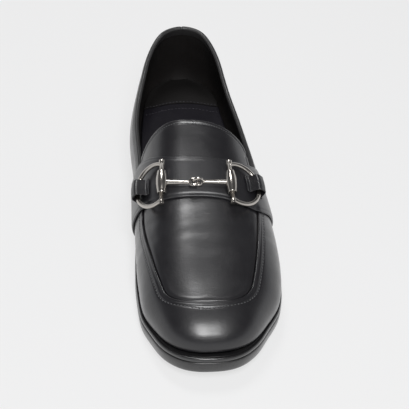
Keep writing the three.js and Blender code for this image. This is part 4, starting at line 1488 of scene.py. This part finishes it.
@dataclass
class SoleWork:
    """Welt, outsole, heel and the sock inside the shoe."""

    shop: Workshop
    columns: int = 170
    welt_width: float = 9
    undercut: float = 1.3
    top_piece: float = 6
    heel_length: float = 74
    heel_inset: float = 2.6
    breast_bow: float = 4
    breast_lean: float = 1.6
    insole: float = 3
    sock_front: float = 0.14
    sock_bow: float = 0.025
    sock_leather: float = 0.7
    sock_rise: float = 0.75
    sock_cushion: float = 0.9
    wall_clear: float = 0.35

    def steps(self) -> Array:
        """Steps round one side."""
        return np.linspace(0, 1, self.columns)

    def welt(self) -> None:
        """The welt, with a rounded lip and a fine line along its top."""
        last = self.shop.last
        side, step = round_the_shoe(self.steps())
        radius = last.welt / 2
        arc = np.linspace(0, np.pi, 13)
        lip = [(-radius * 0.62 * (1 - math.sin(a)), (1 - math.cos(a)) / 2) for a in arc]
        top = [(-self.welt_width + 1, 0.0), (-5.2, 0.0), (-4.2, 0.0), (-3.2, 0.0), (-2.6, 0.02), (-2.2, 0.07),
               (-1.8, 0.02)]
        under = [(-3.5, 1.0), (-self.welt_width + 1, 1.0)]
        loops = []
        for out, fall in [*top, *lip, *under]:
            p = last.rim(side, step, out)
            loops.append(np.stack([p[:, 0], p[:, 1], last.welt_top(p[:, 1]) - fall * last.welt], -1))
        shape = Shape()
        shape.tube(np.stack(loops, 1), wrap=True)
        self.shop.finish(shape.piece("welt_lip", last, flip=True), WELT_EDGE, "sole_leather", "welt")

    def slab(self, name: str, steps: Array, wall: list[tuple[float, float]], top: Callable, under: Callable,
             parts: int = 14, breast: Callable | None = None,
             relief: Callable | None = None) -> bpy.types.Object:
        """A layer of the sole with a shaped side wall.

        Args:
            name: The piece's name.
            steps: Steps from the heel forward that it covers.
            wall: The side's profile, as distance out of the rim and share of the way down.
            top: Level of the top at a place along Y.
            under: Level of the underside there.
            parts: Points across.
            breast: Gives the front face's place along Y at a share across and down, or None at a toe.
            relief: Gives a rise of the underside at points in plan.

        Returns:
            The piece.
        """
        last = self.shop.last
        share = np.linspace(0, 1, parts + 1)[1:-1]
        ones = np.ones_like(steps)

        def column(sign: float, out: float, fall: float) -> Array:
            """One line of the wall along the shoe."""
            p = last.rim(sign * ones, steps, out)
            z = top(p[:, 1]) + (under(p[:, 1]) - top(p[:, 1])) * fall
            return np.stack([p[:, 0], p[:, 1], z], -1)

        lateral = [column(1, out, fall) for out, fall in wall]
        medial = [column(-1, out, fall) for out, fall in wall]

        def across(a: Array, b: Array, level: Callable, bump: bool) -> list[Array]:
            """Lines between two others."""
            lines = []
            for x in share:
                p = a + (b - a) * x
                z = level(p[:, 1])
                if bump and relief is not None:
                    edge = np.minimum(np.linalg.norm(p - a, axis=1), np.linalg.norm(p - b, axis=1))
                    z = z + relief(p, edge)
                lines.append(np.stack([p[:, 0], p[:, 1], z], -1))
            return lines

        lines = [*lateral, *across(lateral[-1], medial[-1], under, True), *medial[::-1],
                 *across(medial[0], lateral[0], top, False)]
        loops = np.stack(lines, 1)
        if breast is not None:
            face = loops[-1].copy()
            low, high = face[:, 2].min(), face[:, 2].max()
            width = max(abs(face[:, 0].min()), abs(face[:, 0].max()))
            down = (high - face[:, 2]) / (high - low)
            face[:, 1] = breast(face[:, 0] / width, down)
            loops = np.concatenate([loops, face[None]])
        shape = Shape()
        shape.tube(loops)
        if breast is not None:
            self.close_breast(shape, loops[-1], len(lateral), len(share))
        return shape.piece(name, last)

    def close_breast(self, shape: Shape, ring: Array, wall: int, parts: int) -> None:
        """Closes the front face of a heel layer between its top and its underside.

        Args:
            shape: The mesh in the making.
            ring: The last section.
            wall: Points of one side wall.
            parts: Points across.
        """
        lateral, under = ring[:wall], ring[wall:wall + parts]
        medial, top = ring[wall + parts:2 * wall + parts], ring[2 * wall + parts:]
        upper = np.stack([lateral[0], *top[::-1], medial[-1]])
        lower = np.stack([lateral[-1], *under, medial[0]])
        share = np.linspace(0, 1, wall)[:, None, None]
        face = upper[None] + (lower - upper)[None] * share
        face[:, 0], face[:, -1] = lateral, medial[::-1]
        shape.grid(face[::-1])

    def outsole(self) -> None:
        """The outsole: a slightly rounded, trimmed wall and a channel line near the edge of its underside."""
        last = self.shop.last
        wall = [(-1.2, 0.0), (-0.5, 0.02), (-0.12, 0.07), (0, 0.15), (-0.02, 0.3), (-0.15, 0.5),
                (-0.45, 0.72), (-0.8, 0.86), (-1.15, 0.94), (-1.7, 0.985), (-2.4, 1.0)]

        def channel(_: Array, edge: Array) -> Array:
            """A shallow closed channel round the forepart."""
            return 0.25 * hump(edge, 5.0, 0.8)

        levels = (last.sole_top, last.sole_under)
        piece = self.slab("outsole_trimmed", self.steps(), wall, *levels, 40, None, channel)
        self.shop.finish(piece, SOLE_EDGE, "sole_leather", "outsole")

    def heel_steps(self) -> Array:
        """Steps from the back of the heel to its breast."""
        breast = self.shop.last.sole_length / 2 - self.heel_length
        steps = self.steps()
        return steps[self.shop.last.y_at(along_of(steps)) > breast + self.breast_bow + 1.5]

    def heel(self) -> None:
        """The stacked heel and its top piece, each with a hollow front face that leans back."""
        last = self.shop.last
        breast_y = last.sole_length / 2 - self.heel_length

        def breast(lean: float, more: float) -> Callable:
            """The front face's place along Y."""
            return lambda x, down: breast_y + self.breast_bow * (1 - x * x) + lean + more * down

        lifts = 4
        wall = [(-self.undercut - 0.6, 0.0)]
        for k in range(lifts):
            for x in (0.06, 0.14, 0.3, 0.5, 0.7, 0.86, 0.94):
                share = (k + x) / lifts
                seam = 0.16 * (hump(x, 0, 0.06) + hump(x, 1, 0.06))
                wall.append((-self.undercut - (self.heel_inset - self.undercut) * share - seam, share))
        wall.append((-self.heel_inset - 0.5, 1.0))
        top_gap = last.gap
        block = self.slab(
            "heel_stack", self.heel_steps(), wall, lambda y: last.sole_under(y) - top_gap,
            lambda y: np.full_like(y, self.top_piece + top_gap), 16, breast(0.0, self.breast_lean),
        )
        self.shop.finish(block, HEEL_STACK, "sole_leather", "heel_block")
        tread = ((0.5, 0.0), (0.1, 0.06), (0, 0.2), (0.1, 0.5), (0.25, 0.85), (0.5, 0.96), (1.0, 1.0))
        wall = [(-self.heel_inset - inwards, fall) for inwards, fall in tread]
        top = self.slab("heel_rubber", self.heel_steps(), wall, lambda y: np.full_like(y, self.top_piece),
                        lambda y: np.zeros_like(y), 16, breast(self.breast_lean, 0.4))
        self.shop.finish(top, RUBBER, "heel_rubber", "heel_top_piece")

    def sock(self) -> None:
        """The insole under its sock: a front part, and a heel sock that overlaps it with a stitched edge."""
        last = self.shop.last
        steps = self.steps()
        inset = last.wall + self.wall_clear
        x = np.linspace(-1, 1, 61)[None, :]

        def surface(rise: float, shrink: float, start: float, end: float, bow: float) -> Array:
            """A sheet over the insole between two places along the shoe."""
            v = np.linspace(0, 1, 120)[:, None]
            along = start + (end - start) * v - bow * (1 - x * x) * v
            step = step_of(np.clip(along, 0, 1))
            here_l, out_l = last.foot(np.ones_like(step), step)
            here_m, out_m = last.foot(-np.ones_like(step), step)
            a, b = here_m - out_m * (inset + shrink), here_l - out_l * (inset + shrink)
            p = a + (b - a) * ((x + 1) / 2)[..., None]
            edge = 1 - np.abs(x)
            cushion = self.sock_cushion * smooth(1 - edge / 0.22) * np.ones_like(v)
            z = last.level(p[..., 1]) + rise + cushion
            return np.stack([p[..., 0], p[..., 1], z], -1)

        base = Shape()
        base.grid(surface(self.insole, 0, 0.004, 0.99, 0.0))
        piece = base.piece("front_sock", last, flip=True)
        thicken(piece, self.insole - last.gap)
        self.shop.finish(piece, FRONT_SOCK, "lining_leather", "insole")
        heel = Shape()
        heel.grid(surface(self.insole + self.sock_rise, 0.05, 0.005, self.sock_front, self.sock_bow))
        piece = heel.piece("heel_sock", last, flip=True)
        thicken(piece, self.sock_leather)
        self.shop.finish(piece, SOCK, "lining_leather", "insole")
        paths = []
        for away, rise in ((-0.007, 0.85), (0.02, 0.05)):
            row = surface(self.insole + rise, 2.5, 0.013, self.sock_front + away, self.sock_bow)[-1]
            paths.append((row, np.broadcast_to(np.array([0.0, 0.0, 1.0]), row.shape)))
        StitchRow("sock_stitches", 2.6, 1.9, 0.4).build(self.shop, paths, SOCK_THREAD)

    def build(self) -> None:
        """Makes the sole's pieces and the sock."""
        self.welt()
        self.outsole()
        self.heel()
        self.sock()


@dataclass
class Studio:
    """Plain pale floor, soft lights and the camera at the photograph's angle."""

    last: Last
    frame_px: float = 409
    focal_px: float = 962
    zoom: float = 1.6
    aim_px: tuple[float, float] = (260.5, 245.0)
    eye: tuple[float, float, float] = (-0.1085, -0.8289, 0.7604)
    sensor_mm: float = 36
    right: tuple[float, float, float] = (0.99824, -0.05931, 0.0)
    up: tuple[float, float, float] = (0.03732, 0.62821, 0.77715)
    back: tuple[float, float, float] = (-0.04609, -0.77578, 0.62932)
    floor_colour: tuple[float, float, float] = (0.2, 0.2, 0.203)
    floor_glow: float = 0.68
    horizon: float = 0.95
    zenith: float = 0.1
    sky_span: tuple[float, float] = (0.1, 0.5)
    lamps: tuple[tuple[str, tuple[float, float, float], tuple[float, float], float], ...] = (
        ("overhead", (-0.065, 0.34, 0.95), (0.2, 0.3), 3.0),
        ("front_top", (-0.02, -0.79, 0.92), (0.32, 0.12), 3.6),
        ("front_high", (-0.02, -0.58, 1.03), (0.34, 0.3), 4.5),
    )

    def camera(self) -> None:
        """The camera, turned from the photograph's optical axis straight to the shoe."""
        half = self.frame_px / 2
        px, py = self.aim_px
        right, up, back = Vector(self.right), Vector(self.up), Vector(self.back)
        aim = (right * (px - half) - up * (py - half)) / self.focal_px - back
        turn = (-back).rotation_difference(aim.normalized())
        data = bpy.data.cameras.new("camera")
        data.sensor_width = self.sensor_mm
        data.lens = self.zoom * self.focal_px * self.sensor_mm / self.frame_px
        data.clip_start, data.clip_end = 0.05, 20
        camera = put("camera", data)
        camera.location = Vector(self.eye) + Vector((self.last.centre_shift(), 0, 0))
        camera.rotation_mode = "QUATERNION"
        camera.rotation_quaternion = turn @ back.to_track_quat("Z", "Y")
        bpy.context.scene.camera = camera

    def lamp(self, name: str, place: tuple, size: tuple[float, float], power: float) -> None:
        """One soft box aimed at the shoe.

        Args:
            name: Its name.
            place: Where it hangs.
            size: Its two sides.
            power: In watts.
        """
        data = bpy.data.lights.new(name, "AREA")
        data.shape, data.size, data.size_y, data.energy = "RECTANGLE", *size, power
        lamp = put(name, data)
        lamp.location = place
        lamp.rotation_mode = "QUATERNION"
        lamp.rotation_quaternion = Vector(place).to_track_quat("Z", "Y")

    def floor(self) -> None:
        """A pale floor that runs to the horizon, lit evenly from below its matt top."""
        mesh = bpy.data.meshes.new("floor")
        corners = [(-6, -6, -0.0002), (6, -6, -0.0002), (6, 6, -0.0002), (-6, 6, -0.0002)]
        mesh.from_pydata(corners, [], [(0, 1, 2, 3)])
        floor = put("floor", mesh)
        n = Nodes("pale_floor")
        n.set(Base_Color=(*self.floor_colour, 1), Roughness=0.8, Specular_IOR_Level=0.1)
        n.set(Emission_Color=(1, 1, 1, 1), Emission_Strength=self.floor_glow)
        mesh.materials.append(n.material)

    def world(self) -> None:
        """Surroundings that are white near the horizon and dim overhead."""
        world = bpy.data.worlds.new("studio")
        bpy.context.scene.world = world
        world.use_nodes = True
        tree = world.node_tree
        ground = tree.nodes["Background"]
        place = add_node(tree, "ShaderNodeTexCoord").outputs["Generated"]
        height = add_node(tree, "ShaderNodeSeparateXYZ", {0: place}).outputs["Z"]
        low, high = self.sky_span
        ends = {
            "Value": height, "From Min": low, "From Max": high,
            "To Min": self.horizon, "To Max": self.zenith,
        }
        shade = add_node(tree, "ShaderNodeMapRange", ends, interpolation_type="SMOOTHSTEP")
        tree.links.new(shade.outputs["Result"], ground.inputs["Strength"])
        ground.inputs["Color"].default_value = (0.93, 0.94, 0.96, 1)

    def build(self) -> None:
        """Sets up camera, floor and light."""
        self.camera()
        self.floor()
        self.world()
        for lamp in self.lamps:
            self.lamp(*lamp)
        bpy.context.scene.view_settings.view_transform = "Standard"


def main() -> None:
    """Builds the shoe piece by piece."""
    logging.basicConfig(level=logging.INFO, format="%(name)s: %(message)s")
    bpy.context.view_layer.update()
    last = Last()
    Studio(last).build()
    shop = Workshop(last)
    UpperWork(shop).build()
    TongueWork(shop).build()
    StrapWork(shop).build()
    BitWork(shop).build()
    SoleWork(shop).build()


if __name__ == "__main__":
    main()
